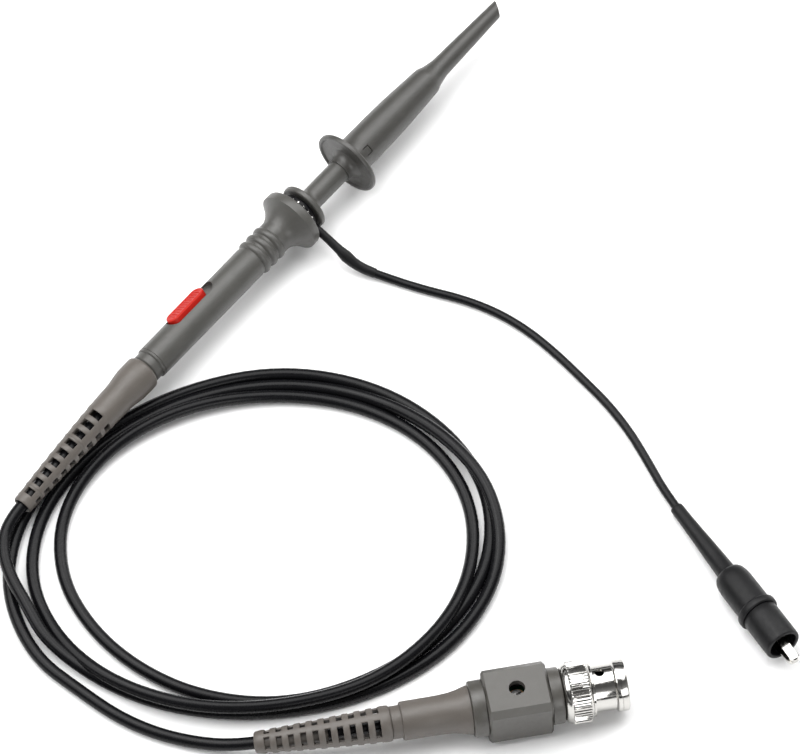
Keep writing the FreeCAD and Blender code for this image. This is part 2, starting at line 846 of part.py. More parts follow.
# Ground clip: rubber boot, shroud, crimp, two jaws on a pin and their spring
turned(
    "clip_boot",
    "clip",
    [
        ("0", "leadDiameter / 2 + cableFit"),
        ("0", "clipTailDiameter / 2"),
        ("clipNeckLength", "clipNeckDiameter / 2"),
        ("clipNeckLength + clipBulbLength * 0.3", "clipNeckDiameter / 2 + 0.7"),
        (f"{clipBodyAt} - clipBulbLength * 0.25", "clipBodyDiameter / 2 - 0.35"),
        (clipBodyAt, "clipBodyDiameter / 2"),
        (clipRingAt, "clipBodyDiameter / 2"),
        (clipRingAt, "clipBodyDiameter / 2 - clipWall"),
        ("clipNeckLength + clipBulbLength * 0.5", "clipBodyDiameter / 2 - clipWall"),
        ("clipNeckLength + clipBulbLength * 0.5", "clipTailDiameter / 2 + 0.05"),
        ("wireInClip", "clipTailDiameter / 2 + 0.05"),
        ("wireInClip", "leadDiameter / 2 + cableFit"),
    ],
)
shroudWall = "(clipBodyDiameter / 2 - clipWall)"
turned(
    "clip_shroud",
    "clip",
    [
        (f"{clipRingAt} - 3", f"{shroudWall} - 0.6"),
        (f"{clipRingAt} - 3", f"{shroudWall} - 0.02"),
        (f"{clipRingAt} + 0.02", f"{shroudWall} - 0.02"),
        (f"{clipRingAt} + 0.02", "clipRingDiameter / 2 - 0.2"),
        (f"{clipRingAt} + 0.3", "clipRingDiameter / 2"),
        (f"{clipRingAt} + clipRingLength", "clipRingDiameter / 2"),
        (f"{clipRingAt} + clipRingLength + 0.5", "clipMouthDiameter / 2"),
        (clipMouthEnd, "clipMouthDiameter / 2"),
        (clipMouthEnd, f"{shroudWall} - 0.1"),
        (f"{clipRingAt} + 1", f"{shroudWall} - 0.1"),
        (f"{clipRingAt} + 0.5", f"{shroudWall} - 0.6"),
    ],
)
crimpEnd = "(clipNeckLength + clipBulbLength * 0.5)"
tube("clip_crimp", "clip", "wireInClip + 0.05", crimpEnd, "clipTailDiameter", None)

jawStart = size("clipNeckLength") + size("clipBulbLength") * 0.5 + 0.05
mouthX = size("clipNeckLength") + size("clipBulbLength") + size("clipBodyLength")
mouthX += size("clipRingLength") + size("clipMouthLength")
jawEnd = mouthX + size("jawShown")
pivotX = jawStart + 6.5
jawHigh = 1.7
sheetThickness = size("jawSheet")


def jawProfile(start, side):
    """A bent strip seen from the side: level at the pivot, closing on the jaw's tip."""
    outline = [
        (start, jawHigh),
        (mouthX - 6, jawHigh),
        (jawEnd - 4.5, 1.15),
        (jawEnd - 0.3, 0.85),
        (jawEnd, 0.55),
        (jawEnd, 0.04),
        (jawEnd - 0.8, 0.04),
        (jawEnd - 4.5, 1.15 - sheetThickness),
        (mouthX - 6, jawHigh - sheetThickness),
        (start, jawHigh - sheetThickness),
    ]
    points = [Vector(x, 0, side * z) for x, z in outline]
    return Part.Face(Part.makePolygon(points + points[:1]))


def jaw(start, side, width):
    """A jaw with two ears at the pivot, bored for the pin, its tip rounded in plan."""
    strip = jawProfile(start, side).extrude(Vector(0, width, 0))
    strip.translate(Vector(0, -width / 2, 0))
    round_ = Part.makeCylinder(width / 2, 4, Vector(jawEnd - width / 2, 0, -2))
    body = Part.makeBox(jawEnd - width / 2 - start, width, 4, Vector(start, -width / 2, -2))
    strip = strip.common(body.fuse(round_))
    low, high = sorted((side * jawHigh, -side * 0.9))
    for ear in (-1, 1):
        inner = width / 2 - sheetThickness
        y = inner if ear > 0 else -width / 2
        plate = Part.makeBox(3, sheetThickness, high - low, Vector(pivotX - 1.5, y, low))
        strip = strip.fuse(plate)
    radius = size("pivotDiameter") / 2 + 0.03
    hole = Part.makeCylinder(radius, width + 2, Vector(pivotX, -width / 2 - 1, 0), Vector(0, 1, 0))
    return strip.cut(hole).removeSplitter()


jawWidth = size("jawWidth")
upperWidth = jawWidth - 2 * sheetThickness - 0.16
plain("clip_lower_jaw", jaw(jawStart, -1, jawWidth), "clip")
plain("clip_upper_jaw", jaw(pivotX - 3.5, 1, upperWidth), "clip")
pivotPin = cylinder(
    "pivot_rod",
    "pivotDiameter / 2",
    "jawWidth",
    (f"{crimpEnd} + 6.55", "jawWidth / 2", "0 * jawWidth"),
    Vector(0, -1, 0),
)
keep(joined("pivot_group", [pivotPin]), "clip_pivot_pin", "clip")
springOuter = 0.85
springHalf = upperWidth / 2 - sheetThickness - 0.1
coilOuter = Part.makeCylinder(
    springOuter, 2 * springHalf, Vector(pivotX, -springHalf, 0), Vector(0, 1, 0)
)
coilInner = Part.makeCylinder(
    size("pivotDiameter") / 2 + 0.05, 4, Vector(pivotX, -2, 0), Vector(0, 1, 0)
)
plain("clip_spring", coilOuter.cut(coilInner), "clip")

# Compensation box: square housing with round collars, a bore and the adjuster hole
boxBlank = doc.addObject("PartDesign::Body", "box_blank")
halfWidth = "boxWidth / 2"
halfInner = f"({halfWidth} - boxChamfer)"
corners = [
    (halfWidth, halfInner),
    (halfInner, halfWidth),
    (f"-{halfInner}", halfWidth),
    (f"-{halfWidth}", halfInner),
    (f"-{halfWidth}", f"-{halfInner}"),
    (f"-{halfInner}", f"-{halfWidth}"),
    (halfInner, f"-{halfWidth}"),
    (halfWidth, f"-{halfInner}"),
]
boxSketch = profile(boxBlank, "box_section", corners, "YZ_Plane")
boxPad = boxBlank.newObject("PartDesign::Pad", "box_pad")
boxPad.Profile = boxSketch
boxPad.setExpression("Length", term("boxLength"))
boxPad.Midplane = True
collars = tube(
    "box_collars", "plug", flareAt, f"{nutAt} - nutGap", "boxCollarDiameter", None, kept=False
)
boxBore = cylinder(
    "box_bore",
    "boxBore / 2",
    "boxLength * 3",
    ("-boxLength * 1.5", "0 * boxBore", "0 * boxBore"),
    Vector(1, 0, 0),
)
trimTool = cylinder(
    "trim_hole", "trimHole / 2", "boxWidth", ("0 * boxBore", "0 * boxBore", "1")
)
boxGroup = cut("comp_box_cut", joined("comp_box_blank", [boxBlank, collars]), [boxBore, trimTool])
keep(boxGroup, "comp_box", "plug")

shieldDiameter = "(boxBore - 2 * slipFit)"
shieldBlank = tube(
    "comp_shield_blank",
    "plug",
    f"{flareAt} + 0.3",
    f"{nutAt} - nutGap - 2.6",
    shieldDiameter,
    f"{shieldDiameter} - 0.7",
    kept=False,
)
shieldHole = cylinder(
    "comp_shield_hole", "trimHole / 2 + 0.4", "boxWidth", ("0 * boxBore", "0 * boxBore", "1")
)
keep(cut("comp_shield_cut", shieldBlank, [shieldHole]), "comp_shield", "plug")
compBoard = block(
    "plug_board", ("boxLength - 1", "compBoardWidth", "0.8"), ("-boxLength / 2 + 0.5", "-0.9")
)
keep(joined("comp_board_group", [compBoard]), "comp_board", "plug")
compResistor = block("plug_resistor", ("2", "1.2", "0.6"), ("-boxLength / 2 + 1.6", "-0.08"))
keep(joined("comp_resistor_group", [compResistor]), "comp_resistor", "plug")
compCapacitor = block("plug_capacitor", ("1.8", "1.8", "0.9"), ("boxLength / 2 - 4", "-0.08"))
keep(joined("comp_capacitor_group", [compCapacitor]), "comp_capacitor", "plug")
trimBlank = cylinder(
    "trimmer_blank", "trimmerDiameter / 2", "2.2", ("0 * boxBore", "0 * boxBore", "-0.08")
)
trimPit = cylinder("trimmer_pit", "0.68", "4", ("0 * boxBore", "0 * boxBore", "0.5"))
keep(cut("trimmer_cut", trimBlank, [trimPit]), "trimmer_body", "plug")
screwHead = cylinder(
    "screw_head", "trimScrewDiameter / 2", "1.2", ("0 * boxBore", "0 * boxBore", "2.16")
)
screwStem = cylinder("screw_stem", "0.64", "1.6", ("0 * boxBore", "0 * boxBore", "0.6"))
screwSlot = block("screw_slot", ("trimScrewDiameter * 1.2", "0.5", "1"), ("-trimScrewDiameter * 0.6", "2.9"))
screw = cut("trim_screw_cut", joined("screw_blank", [screwHead, screwStem]), [screwSlot])
keep(screw, "trimmer_screw", "plug")

# Rubber sleeve and windowed boot behind the box, the clamp and the coax inside them
turned(
    "bnc_rear_sleeve",
    "plug",
    [
        (plugBootAt, "clampDiameter / 2 + slipFit"),
        (plugBootAt, "plugGrooveDiameter / 2"),
        (grooveAt, "plugGrooveDiameter / 2"),
        (f"{grooveAt} + 0.1", "plugSleeveDiameter / 2"),
        (f"{grooveAt} + plugSleeveLength * 0.5", "plugSleeveDiameter / 2"),
        (f"{grooveAt} + plugSleeveLength * 0.75", "plugSleeveDiameter / 2 + 0.45"),
        (f"{flareAt} - 0.05", "plugFlareDiameter / 2"),
        (f"{flareAt} - 0.05", "clampDiameter / 2 + slipFit"),
    ],
)
tube(
    "cable_clamp",
    "plug",
    f"{plugBootAt} + 0.05",
    f"{flareAt} + 0.25",
    "clampDiameter",
    "cableDiameter + 2 * cableFit",
)
plugX0 = -size("boxLength") / 2 - size("rearCollar") - size("plugSleeveLength") - size("plugGroove")
plugBend = Bend(plugX0 - 0.02, size("plugBootLength"), size("plugBootDrop"), size("plugBootRoll"))
plugEnd = size("plugBootDiameter") / 2
plugTail = size("plugBootTailDiameter") / 2
plugStations = [(0, plugEnd - 0.3), (0.4, plugEnd), (2.2, plugEnd - 0.05)]
for step in range(1, 8):
    share = step / 7
    plugStations.append(
        (2.2 + (size("plugBootLength") - 2.2) * share, plugEnd + (plugTail - plugEnd) * share)
    )
plugBoot = bootShape(
    plugBend,
    plugStations,
    bore,
    None,
    (size("plugWindowFirst"), size("plugWindowPitch"), 10, size("plugWindowWidth"), 2.0, 1.4),
)
plain("bnc_strain_relief", plugBoot, "plug")
plain("cable_in_plug", plugBend.pipe(0, size("plugBootLength"), size("cableDiameter") / 2), "plug")

# Plug: body with a plate, insulator, pin, slotted contact, gasket, washers and bayonet nut
turned(
    "bnc_body",
    "plug",
    [
        (f"{nutAt} - nutGap - 2.5", "dielectricDiameter / 2 + slipFit / 2"),
        (f"{nutAt} - nutGap - 2.5", "boxBore / 2 - slipFit / 2"),
        (f"{nutAt} - nutGap - 0.02", "boxBore / 2 - slipFit / 2"),
        (f"{nutAt} - nutGap - 0.02", "shankDiameter / 2"),
        (plateAt, "shankDiameter / 2"),
        (plateAt, "plateDiameter / 2"),
        (f"{plateAt} + plateThickness", "plateDiameter / 2"),
        (f"{plateAt} + plateThickness", "dielectricDiameter / 2 + slipFit / 2"),
    ],
)
contactAt = f"({plateAt} + plateThickness)"
contactEnd = f"({contactAt} + contactLength)"
contactBody = turned(
    "contact_blank",
    "plug",
    [
        (f"{contactAt} + 0.01", "dielectricDiameter / 2 + slipFit"),
        (f"{contactAt} + 0.01", "contactDiameter / 2 - 0.35"),
        (f"{contactAt} + 1", "contactDiameter / 2 - 0.35"),
        (f"{contactAt} + 1", "contactDiameter / 2"),
        (contactEnd, "contactDiameter / 2"),
        (contactEnd, "contactDiameter / 2 - contactWall"),
        (f"{contactAt} + 1.5", "contactDiameter / 2 - contactWall"),
        (f"{contactAt} + 1.5", "dielectricDiameter / 2 + slipFit"),
    ],
    kept=False,
)
slits = []
for i in range(2):
    slit = block(
        f"contact_slit_{i}",
        ("contactLength", "0.4", "contactDiameter * 2"),
        (f"{contactAt} + 2.6", "-contactDiameter"),
    )
    group = joined(f"slit_group_{i}", [slit])
    rolled(group, 45 + 90 * i)
    slits.append(group)
keep(cut("contact_cut", contactBody, slits), "bnc_outer_contact", "plug")
turned(
    "bnc_insulator",
    "plug",
    [
        (f"{nutAt} - 2", "pinDiameter / 2 + 0.01"),
        (f"{nutAt} - 2", "dielectricDiameter / 2"),
        (f"{contactAt} + 2", "dielectricDiameter / 2"),
        (f"{contactAt} + 2", "pinDiameter / 2 + 0.01"),
    ],
)
turned(
    "bnc_centre_pin",
    "plug",
    [
        (f"{nutAt} - 3.5", "0"),
        (f"{nutAt} - 3.5", "pinDiameter / 2"),
        (f"{contactEnd} - 3", "pinDiameter / 2"),
        (f"{contactEnd} - 2.2", "pinDiameter / 2 - 0.35"),
        (f"{contactEnd} - 2.2", "0"),
    ],
)
tube(
    "bnc_gasket",
    "plug",
    f"{contactAt} + 0.01",
    f"{contactAt} + 0.9",
    f"{nutBore} - 0.3",
    "contactDiameter + 0.04",
)
washerAt = f"({nutAt} + nutFlange + 0.03)"
tube(
    "bnc_thrust_washer",
    "plug",
    washerAt,
    f"{washerAt} + 0.4",
    "chamberDiameter - 0.4",
    "shankDiameter + 2 * shankFit",
)
turned(
    "bnc_spring_washer",
    "plug",
    [
        (f"{washerAt} + 0.45", "chamberDiameter / 2 - 0.6"),
        (f"{washerAt} + 0.7", "chamberDiameter / 2 - 0.6"),
        (f"{plateAt} - 0.05", "shankDiameter / 2 + 0.1"),
        (f"{plateAt} - 0.3", "shankDiameter / 2 + 0.1"),
    ],
)
knurlAt = f"({nutAt} + 1.6)"
knurlEnd = f"({nutAt} + nutKnurlEnd)"
neckAt = f"({knurlEnd} + nutShoulder)"
lipAt = f"({neckAt} + nutNeckLength)"
nutEnd = f"({nutAt} + nutLength)"
nutBody = turned(
    "nut_blank",
    "plug",
    [
        (nutAt, "shankDiameter / 2 + shankFit"),
        (nutAt, "nutDiameter / 2 - 0.8"),
        (knurlAt, "nutDiameter / 2"),
        (knurlEnd, "nutDiameter / 2"),
        (neckAt, neckRadius),
        (lipAt, neckRadius),
        (lipAt, f"{neckRadius} + nutLip"),
        (nutEnd, f"{neckRadius} + nutLip"),
        (nutEnd, f"{nutBore} / 2"),
        (f"{nutAt} + chamberLength", f"{nutBore} / 2"),
        (f"{nutAt} + chamberLength", "chamberDiameter / 2"),
        (f"{nutAt} + nutFlange", "chamberDiameter / 2"),
        (f"{nutAt} + nutFlange", "shankDiameter / 2 + shankFit"),
    ],
    kept=False,
)
lockHole = cylinder(
    "lock_hole",
    "1.1",
    "nutDiameter * 2",
    (f"{neckAt} + 2.4", "nutDiameter", "0 * boxBore"),
    Vector(0, -1, 0),
)
keep(cut("nut_cut", nutBody, [lockHole]), "bnc_coupling_nut", "plug")

# Coax: the coil's outer shape, and the stretches that join it to the two boots

def ellipse(name, long, wide):
    oval = doc.addObject("Part::Ellipse", name)
    oval.setExpression("MajorRadius", term(f"({long}) / 2"))
    oval.setExpression("MinorRadius", term(f"({wide}) / 2"))
    solid = doc.addObject("Part::Extrusion", name + "_solid")
    solid.Base = oval
    solid.Dir = Vector(0, 0, 1)
    solid.DirMode = "Custom"
    solid.setExpression("LengthFwd", term("coilHeight"))
    solid.Solid = True
    return solid


coilOutside = ellipse("coil_outside", "coilLong", "coilWide")
coilInside = ellipse("coil_inside", "coilInnerLong", "coilInnerWide")
inward = Rotation(Vector(0, 0, 1), -size("coilTurn")).multVec(Vector(size("coilInnerX"), 0, 0))
coilInside.Placement = FreeCAD.Placement(inward, Rotation(size("coilInnerTurn"), 0, 0))
coil = cut("coil_cut", coilOutside, [coilInside])
coil.Label = "cable_coil"
coil.Placement = FreeCAD.Placement(Vector(), Rotation(size("coilTurn"), 0, 0))
coil.setExpression("Placement.Base.x", term("coilX"))
coil.setExpression("Placement.Base.y", term("coilY"))
nodes.append(coil)

lie = size("cableDiameter") / 2 + 0.02
overlie = lie + size("coilHeight") + 0.05
headPlace = Vector(headX, 0, axisZ)
bootTip = headBend.at(size("bootLength")) + headPlace
bootAway = headBend.heading(size("bootLength"))
cord(
    "cable_head_lead",
    [
        bootTip,
        bootTip + bootAway * 5.5,
        (-119.9, -4.2, overlie),
        (-124.2, -10.2, overlie + 0.02),
        (-126.0, -17.6, overlie),
    ],
    size("cableDiameter"),
)
plugPlace = FreeCAD.Placement(
    Vector(size("plugX"), size("plugY"), size("nutDiameter") / 2 + size("tableGap")), TURNS["plug"]
)
plugTip = plugPlace.multVec(plugBend.at(size("plugBootLength")))
plugAway = plugPlace.Rotation.multVec(plugBend.heading(size("plugBootLength")))
cord(
    "cable_plug_lead",
    [
        (-134.5, -42.6, lie),
        (-133.9, -51.5, lie),
        (-132.0, -60.3, lie),
        (-129.0, -68.8, lie + 0.15),
        plugTip + plugAway * 6,
        plugTip,
    ],
    size("cableDiameter"),
)

# Every object must have worked before anything is written

doc.recompute()
for item in doc.Objects:
    if any(word in item.State for word in ("Invalid", "Error")):
        raise RuntimeError(f"{item.Label} failed: {item.State}")
os.makedirs("parts", exist_ok=True)
for node in nodes:
    shape = node.Shape
    if shape.isNull() or not shape.isValid() or not shape.Solids:
        raise RuntimeError(f"{node.Label} has no valid solid")
    shape.exportStep(f"parts/{node.Label}.step")
print(len(nodes), "nodes written")
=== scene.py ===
import json
import math

import bmesh
import bpy
from mathutils import Matrix, Vector


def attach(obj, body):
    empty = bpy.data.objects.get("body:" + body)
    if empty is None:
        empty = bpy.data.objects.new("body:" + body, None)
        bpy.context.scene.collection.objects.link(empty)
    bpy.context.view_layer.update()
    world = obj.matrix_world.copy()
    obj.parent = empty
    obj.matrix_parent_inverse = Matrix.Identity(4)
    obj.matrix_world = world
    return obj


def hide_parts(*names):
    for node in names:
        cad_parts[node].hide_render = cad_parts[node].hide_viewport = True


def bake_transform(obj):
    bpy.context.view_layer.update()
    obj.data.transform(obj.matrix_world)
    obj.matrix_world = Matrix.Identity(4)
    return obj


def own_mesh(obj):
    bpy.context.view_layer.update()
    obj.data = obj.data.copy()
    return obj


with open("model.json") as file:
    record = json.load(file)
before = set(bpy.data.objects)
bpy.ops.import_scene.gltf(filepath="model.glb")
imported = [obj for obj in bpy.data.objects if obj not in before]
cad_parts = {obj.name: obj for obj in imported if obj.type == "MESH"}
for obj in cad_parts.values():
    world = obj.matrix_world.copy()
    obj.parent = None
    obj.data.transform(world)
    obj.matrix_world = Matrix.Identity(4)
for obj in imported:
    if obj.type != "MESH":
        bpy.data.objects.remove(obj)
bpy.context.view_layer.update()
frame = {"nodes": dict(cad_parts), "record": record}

nodes = frame["nodes"]
mm = 0.001
print("frame loaded,", len(nodes), "nodes")

# camera, a long lens from far away
cameraSetup = {"target": (-14.98, -35.87, -19.94), "azimuth": -50, "elevation": 60, "distance": 6000,
    "width": 184.76, "nearer": 39}


def makeCamera(setup):
    azimuth, elevation = math.radians(setup["azimuth"]), math.radians(setup["elevation"])
    back = Vector((math.sin(azimuth) * math.cos(elevation), -math.cos(azimuth) * math.cos(elevation),
        math.sin(elevation)))
    data = bpy.data.cameras.new("camera")
    data.sensor_width = 36
    data.lens = 36 * (setup["distance"] - setup["nearer"]) / setup["width"]
    data.clip_start, data.clip_end = 0.05, 20
    camera = bpy.data.objects.new("camera", data)
    bpy.context.collection.objects.link(camera)
    camera.location = (Vector(setup["target"]) + back * setup["distance"]) * mm
    camera.rotation_euler = back.to_track_quat("Z", "Y").to_euler()
    bpy.context.scene.camera = camera


makeCamera(cameraSetup)
print("camera placed")

# cords, their points in millimetres
probeCable = {
    "diameter": 3.0,
    "headLead": [(-108.606, -0.633, 5.607), (-114.06, -0.79, 4.93), (-119.9, -4.2, 4.67),
        (-124.2, -10.2, 4.69), (-127.2, -17.4, 4.65)],
    "centre": (-82.2, -49.06),
    "halfLong": 56.4,
    "halfWide": 47.0,
    "turn": -33.5,
    "firstAngle": 192,
    "step": 24,
    # for each step round the coil: how far inside the outer ellipse, and how high
    "turns": [
        (3.5, 2.8), (6.25, 1.5), (6.7, 1.5), (5.9, 1.5), (3.5, 1.5), (0.65, 1.5), (-0.8, 1.9),
        (0.5, 4.3), (3.0, 4.4), (2.6, 1.7), (2.6, 1.5), (3.2, 1.5), (3.3, 1.5), (3.3, 1.5), (4.05, 1.5),
        (6.1, 2.0), (6.15, 4.4), (6.2, 4.6), (5.9, 4.6), (4.3, 4.6), (4.6, 4.4), (5.8, 2.0), (5.65, 1.5),
        (5.5, 1.5), (5.5, 1.5), (5.6, 1.6), (5.4, 3.0), (5.7, 2.6), (7.7, 1.5), (11.35, 1.5),
        (14.15, 1.5), (13.7, 1.5), (10.9, 1.5), (7.9, 1.5), (6.6, 1.5), (4.4, 1.5), (2.3, 1.5),
        (1.0, 1.5), (0.65, 1.5), (-0.3, 1.5), (-0.7, 1.5), (0.8, 1.5), (1.0, 1.5), (-0.6, 1.5),
        (-1.5, 1.5),
        (-0.95, 1.5),
    ],
    "plugLead": [(-135.6, -43.0, 1.52), (-135.2, -52.0, 1.52), (-133.2, -60.8, 1.52),
        (-129.6, -69.2, 1.67), (-124.98, -77.14, 2.62), (-121.13, -81.55, 3.90)],
}
groundLead = {
    "diameter": 2.05,
    "points": [(-7.085, -21.146, 1.59), (-5.4, -25.6, 1.045), (-2.6, -33.2, 1.045), (1.0, -41.2, 1.045),
        (3.4, -49.4, 1.045), (4.3, -58.0, 1.045), (3.8, -67.0, 1.045), (2.5, -76.2, 1.045),
        (1.1, -85.2, 1.045), (-1.4, -94.0, 1.045), (-5.0, -102.6, 1.045), (-9.076, -111.411, 1.417),
        (-12.747, -122.778, 2.567)],
}


def cordCurve(name, points, diameter):
    curve = bpy.data.curves.new(name, "CURVE")
    curve.dimensions = "3D"
    curve.resolution_u = 8
    curve.bevel_depth = diameter * mm / 2
    curve.bevel_resolution = 5
    curve.use_fill_caps = True
    spline = curve.splines.new("NURBS")
    spline.points.add(len(points) - 1)
    for knot, place in zip(spline.points, points):
        knot.co = (place[0] * mm, place[1] * mm, place[2] * mm, 1)
    spline.order_u = 3
    spline.use_endpoint_u = True
    spline.use_smooth = True
    piece = bpy.data.objects.new(name, curve)
    bpy.context.collection.objects.link(piece)
    return piece


def coilPoints(setup):
    swell = 1 / (0.75 + 0.25 * math.cos(math.radians(setup["step"])))
    turn = math.radians(setup["turn"])
    points = []
    for i, (inside, height) in enumerate(setup["turns"]):
        angle = math.radians(setup["firstAngle"] + i * setup["step"])
        along, across = setup["halfLong"] * math.cos(angle), setup["halfWide"] * math.sin(angle)
        share = (1 - inside / math.hypot(along, across)) * swell
        along, across = along * share, across * share
        x = setup["centre"][0] + along * math.cos(turn) - across * math.sin(turn)
        y = setup["centre"][1] + along * math.sin(turn) + across * math.cos(turn)
        points.append((x, y, height))
    return points


def meshOf(curvePiece, bevelled):
    # the curve as a mesh, or its centre line when it is not bevelled
    depth = curvePiece.data.bevel_depth
    curvePiece.data.bevel_depth = depth if bevelled else 0
    bpy.context.view_layer.update()
    mesh = bpy.data.meshes.new_from_object(curvePiece.evaluated_get(bpy.context.evaluated_depsgraph_get()))
    curvePiece.data.bevel_depth = depth
    return mesh


def cordTube(name, points, diameter):
    # the spline as a smooth mesh tube, and the points of its middle line
    line = cordCurve(name + "_line", points, diameter)
    path = [tuple(v.co) for v in meshOf(line, False).vertices]
    piece = bpy.data.objects.new(name, meshOf(line, True))
    bpy.context.collection.objects.link(piece)
    bpy.data.objects.remove(line)
    piece.data.shade_smooth()
    piece.data.materials.clear()
    return piece, path


cablePoints = probeCable["headLead"] + coilPoints(probeCable) + probeCable["plugLead"]
cablePiece, cablePath = cordTube("probe_cable", cablePoints, probeCable["diameter"])
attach(cablePiece, "probe")
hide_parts("cable_head_lead", "cable_coil", "cable_plug_lead")

leadPiece, leadPath = cordTube("ground_lead", groundLead["points"], groundLead["diameter"])
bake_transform(leadPiece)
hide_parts("ground_lead_wire")
print("cords laid")


# shared surface effects
def socketIn(group, name, kind, value):
    made = group.interface.new_socket(name=name, in_out="INPUT", socket_type=kind)
    made.default_value = value


def mouldedGroup():
    group = bpy.data.node_groups.new("mouldedSurface", "ShaderNodeTree")
    socketIn(group, "Tint", "NodeSocketColor", (0.2, 0.2, 0.2, 1))
    socketIn(group, "Mottle", "NodeSocketFloat", 0.1)
    socketIn(group, "Grain Scale", "NodeSocketFloat", 3000.0)
    socketIn(group, "Roughness", "NodeSocketFloat", 0.5)
    socketIn(group, "Rub", "NodeSocketFloat", 0.1)
    for name, kind in (("Color", "NodeSocketColor"), ("Roughness", "NodeSocketFloat"),
            ("Height", "NodeSocketFloat")):
        group.interface.new_socket(name=name, in_out="OUTPUT", socket_type=kind)
    make, link = group.nodes.new, group.links.new
    inputs, outputs, place = make("NodeGroupInput"), make("NodeGroupOutput"), make("ShaderNodeTexCoord")
    fine, broad, scuff = make("ShaderNodeTexNoise"), make("ShaderNodeTexNoise"), make("ShaderNodeTexNoise")
    for noise, scale, detail in ((fine, 3000, 3), (broad, 160, 4), (scuff, 900, 6)):
        link(place.outputs["Object"], noise.inputs["Vector"])
        noise.inputs["Scale"].default_value = scale
        noise.inputs["Detail"].default_value = detail
    link(inputs.outputs["Grain Scale"], fine.inputs["Scale"])
    shade = make("ShaderNodeMapRange")
    link(broad.outputs["Fac"], shade.inputs["Value"])
    shade.inputs["From Min"].default_value, shade.inputs["From Max"].default_value = 0.3, 0.7
    shade.inputs["To Min"].default_value, shade.inputs["To Max"].default_value = -0.5, 0.5
    strength = make("ShaderNodeMath")
    strength.operation = "MULTIPLY_ADD"
    link(shade.outputs["Result"], strength.inputs[0])
    link(inputs.outputs["Mottle"], strength.inputs[1])
    strength.inputs[2].default_value = 1.0
    speck = make("ShaderNodeMath")
    speck.operation = "MULTIPLY_ADD"
    link(fine.outputs["Fac"], speck.inputs[0])
    link(inputs.outputs["Mottle"], speck.inputs[1])
    link(strength.outputs[0], speck.inputs[2])
    tint = make("ShaderNodeVectorMath")
    tint.operation = "SCALE"
    link(inputs.outputs["Tint"], tint.inputs[0])
    link(speck.outputs[0], tint.inputs["Scale"])
    link(tint.outputs["Vector"], outputs.inputs["Color"])
    rub = make("ShaderNodeMapRange")
    link(scuff.outputs["Fac"], rub.inputs["Value"])
    rub.inputs["From Min"].default_value, rub.inputs["From Max"].default_value = 0.35, 0.65
    rub.inputs["To Min"].default_value, rub.inputs["To Max"].default_value = -1.0, 1.0
    rough = make("ShaderNodeMath")
    rough.operation = "MULTIPLY_ADD"
    link(rub.outputs["Result"], rough.inputs[0])
    link(inputs.outputs["Rub"], rough.inputs[1])
    link(inputs.outputs["Roughness"], rough.inputs[2])
    rough.use_clamp = True
    link(rough.outputs[0], outputs.inputs["Roughness"])
    link(fine.outputs["Fac"], outputs.inputs["Height"])
    return group


def wearGroup():
    # fine scratches and handling marks that lighten a plastic a little
    group = bpy.data.node_groups.new("handlingMarks", "ShaderNodeTree")
    socketIn(group, "Color", "NodeSocketColor", (0.2, 0.2, 0.2, 1))
    socketIn(group, "Mark", "NodeSocketColor", (0.4, 0.4, 0.4, 1))
    socketIn(group, "Amount", "NodeSocketFloat", 0.15)
    group.interface.new_socket(name="Color", in_out="OUTPUT", socket_type="NodeSocketColor")
    make, link = group.nodes.new, group.links.new
    inputs, outputs, place = make("NodeGroupInput"), make("NodeGroupOutput"), make("ShaderNodeTexCoord")
    stretch, scratch = make("ShaderNodeMapping"), make("ShaderNodeTexNoise")
    stretch.inputs["Scale"].default_value = (1.0, 6.0, 6.0)
    stretch.inputs["Rotation"].default_value = (0.2, 0.5, 0.9)
    link(place.outputs["Object"], stretch.inputs["Vector"])
    link(stretch.outputs["Vector"], scratch.inputs["Vector"])
    scratch.inputs["Scale"].default_value = 500
    scratch.inputs["Detail"].default_value = 8
    mask = make("ShaderNodeMapRange")
    link(scratch.outputs["Fac"], mask.inputs["Value"])
    mask.inputs["From Min"].default_value, mask.inputs["From Max"].default_value = 0.6, 0.75
    share = make("ShaderNodeMath")
    share.operation = "MULTIPLY"
    link(mask.outputs["Result"], share.inputs[0])
    link(inputs.outputs["Amount"], share.inputs[1])
    mix = make("ShaderNodeMix")
    mix.data_type = "RGBA"
    link(share.outputs[0], mix.inputs["Factor"])
    link(inputs.outputs["Color"], mix.inputs["A"])
    link(inputs.outputs["Mark"], mix.inputs["B"])
    link(mix.outputs["Result"], outputs.inputs["Color"])
    return group


moulded, wear = mouldedGroup(), wearGroup()

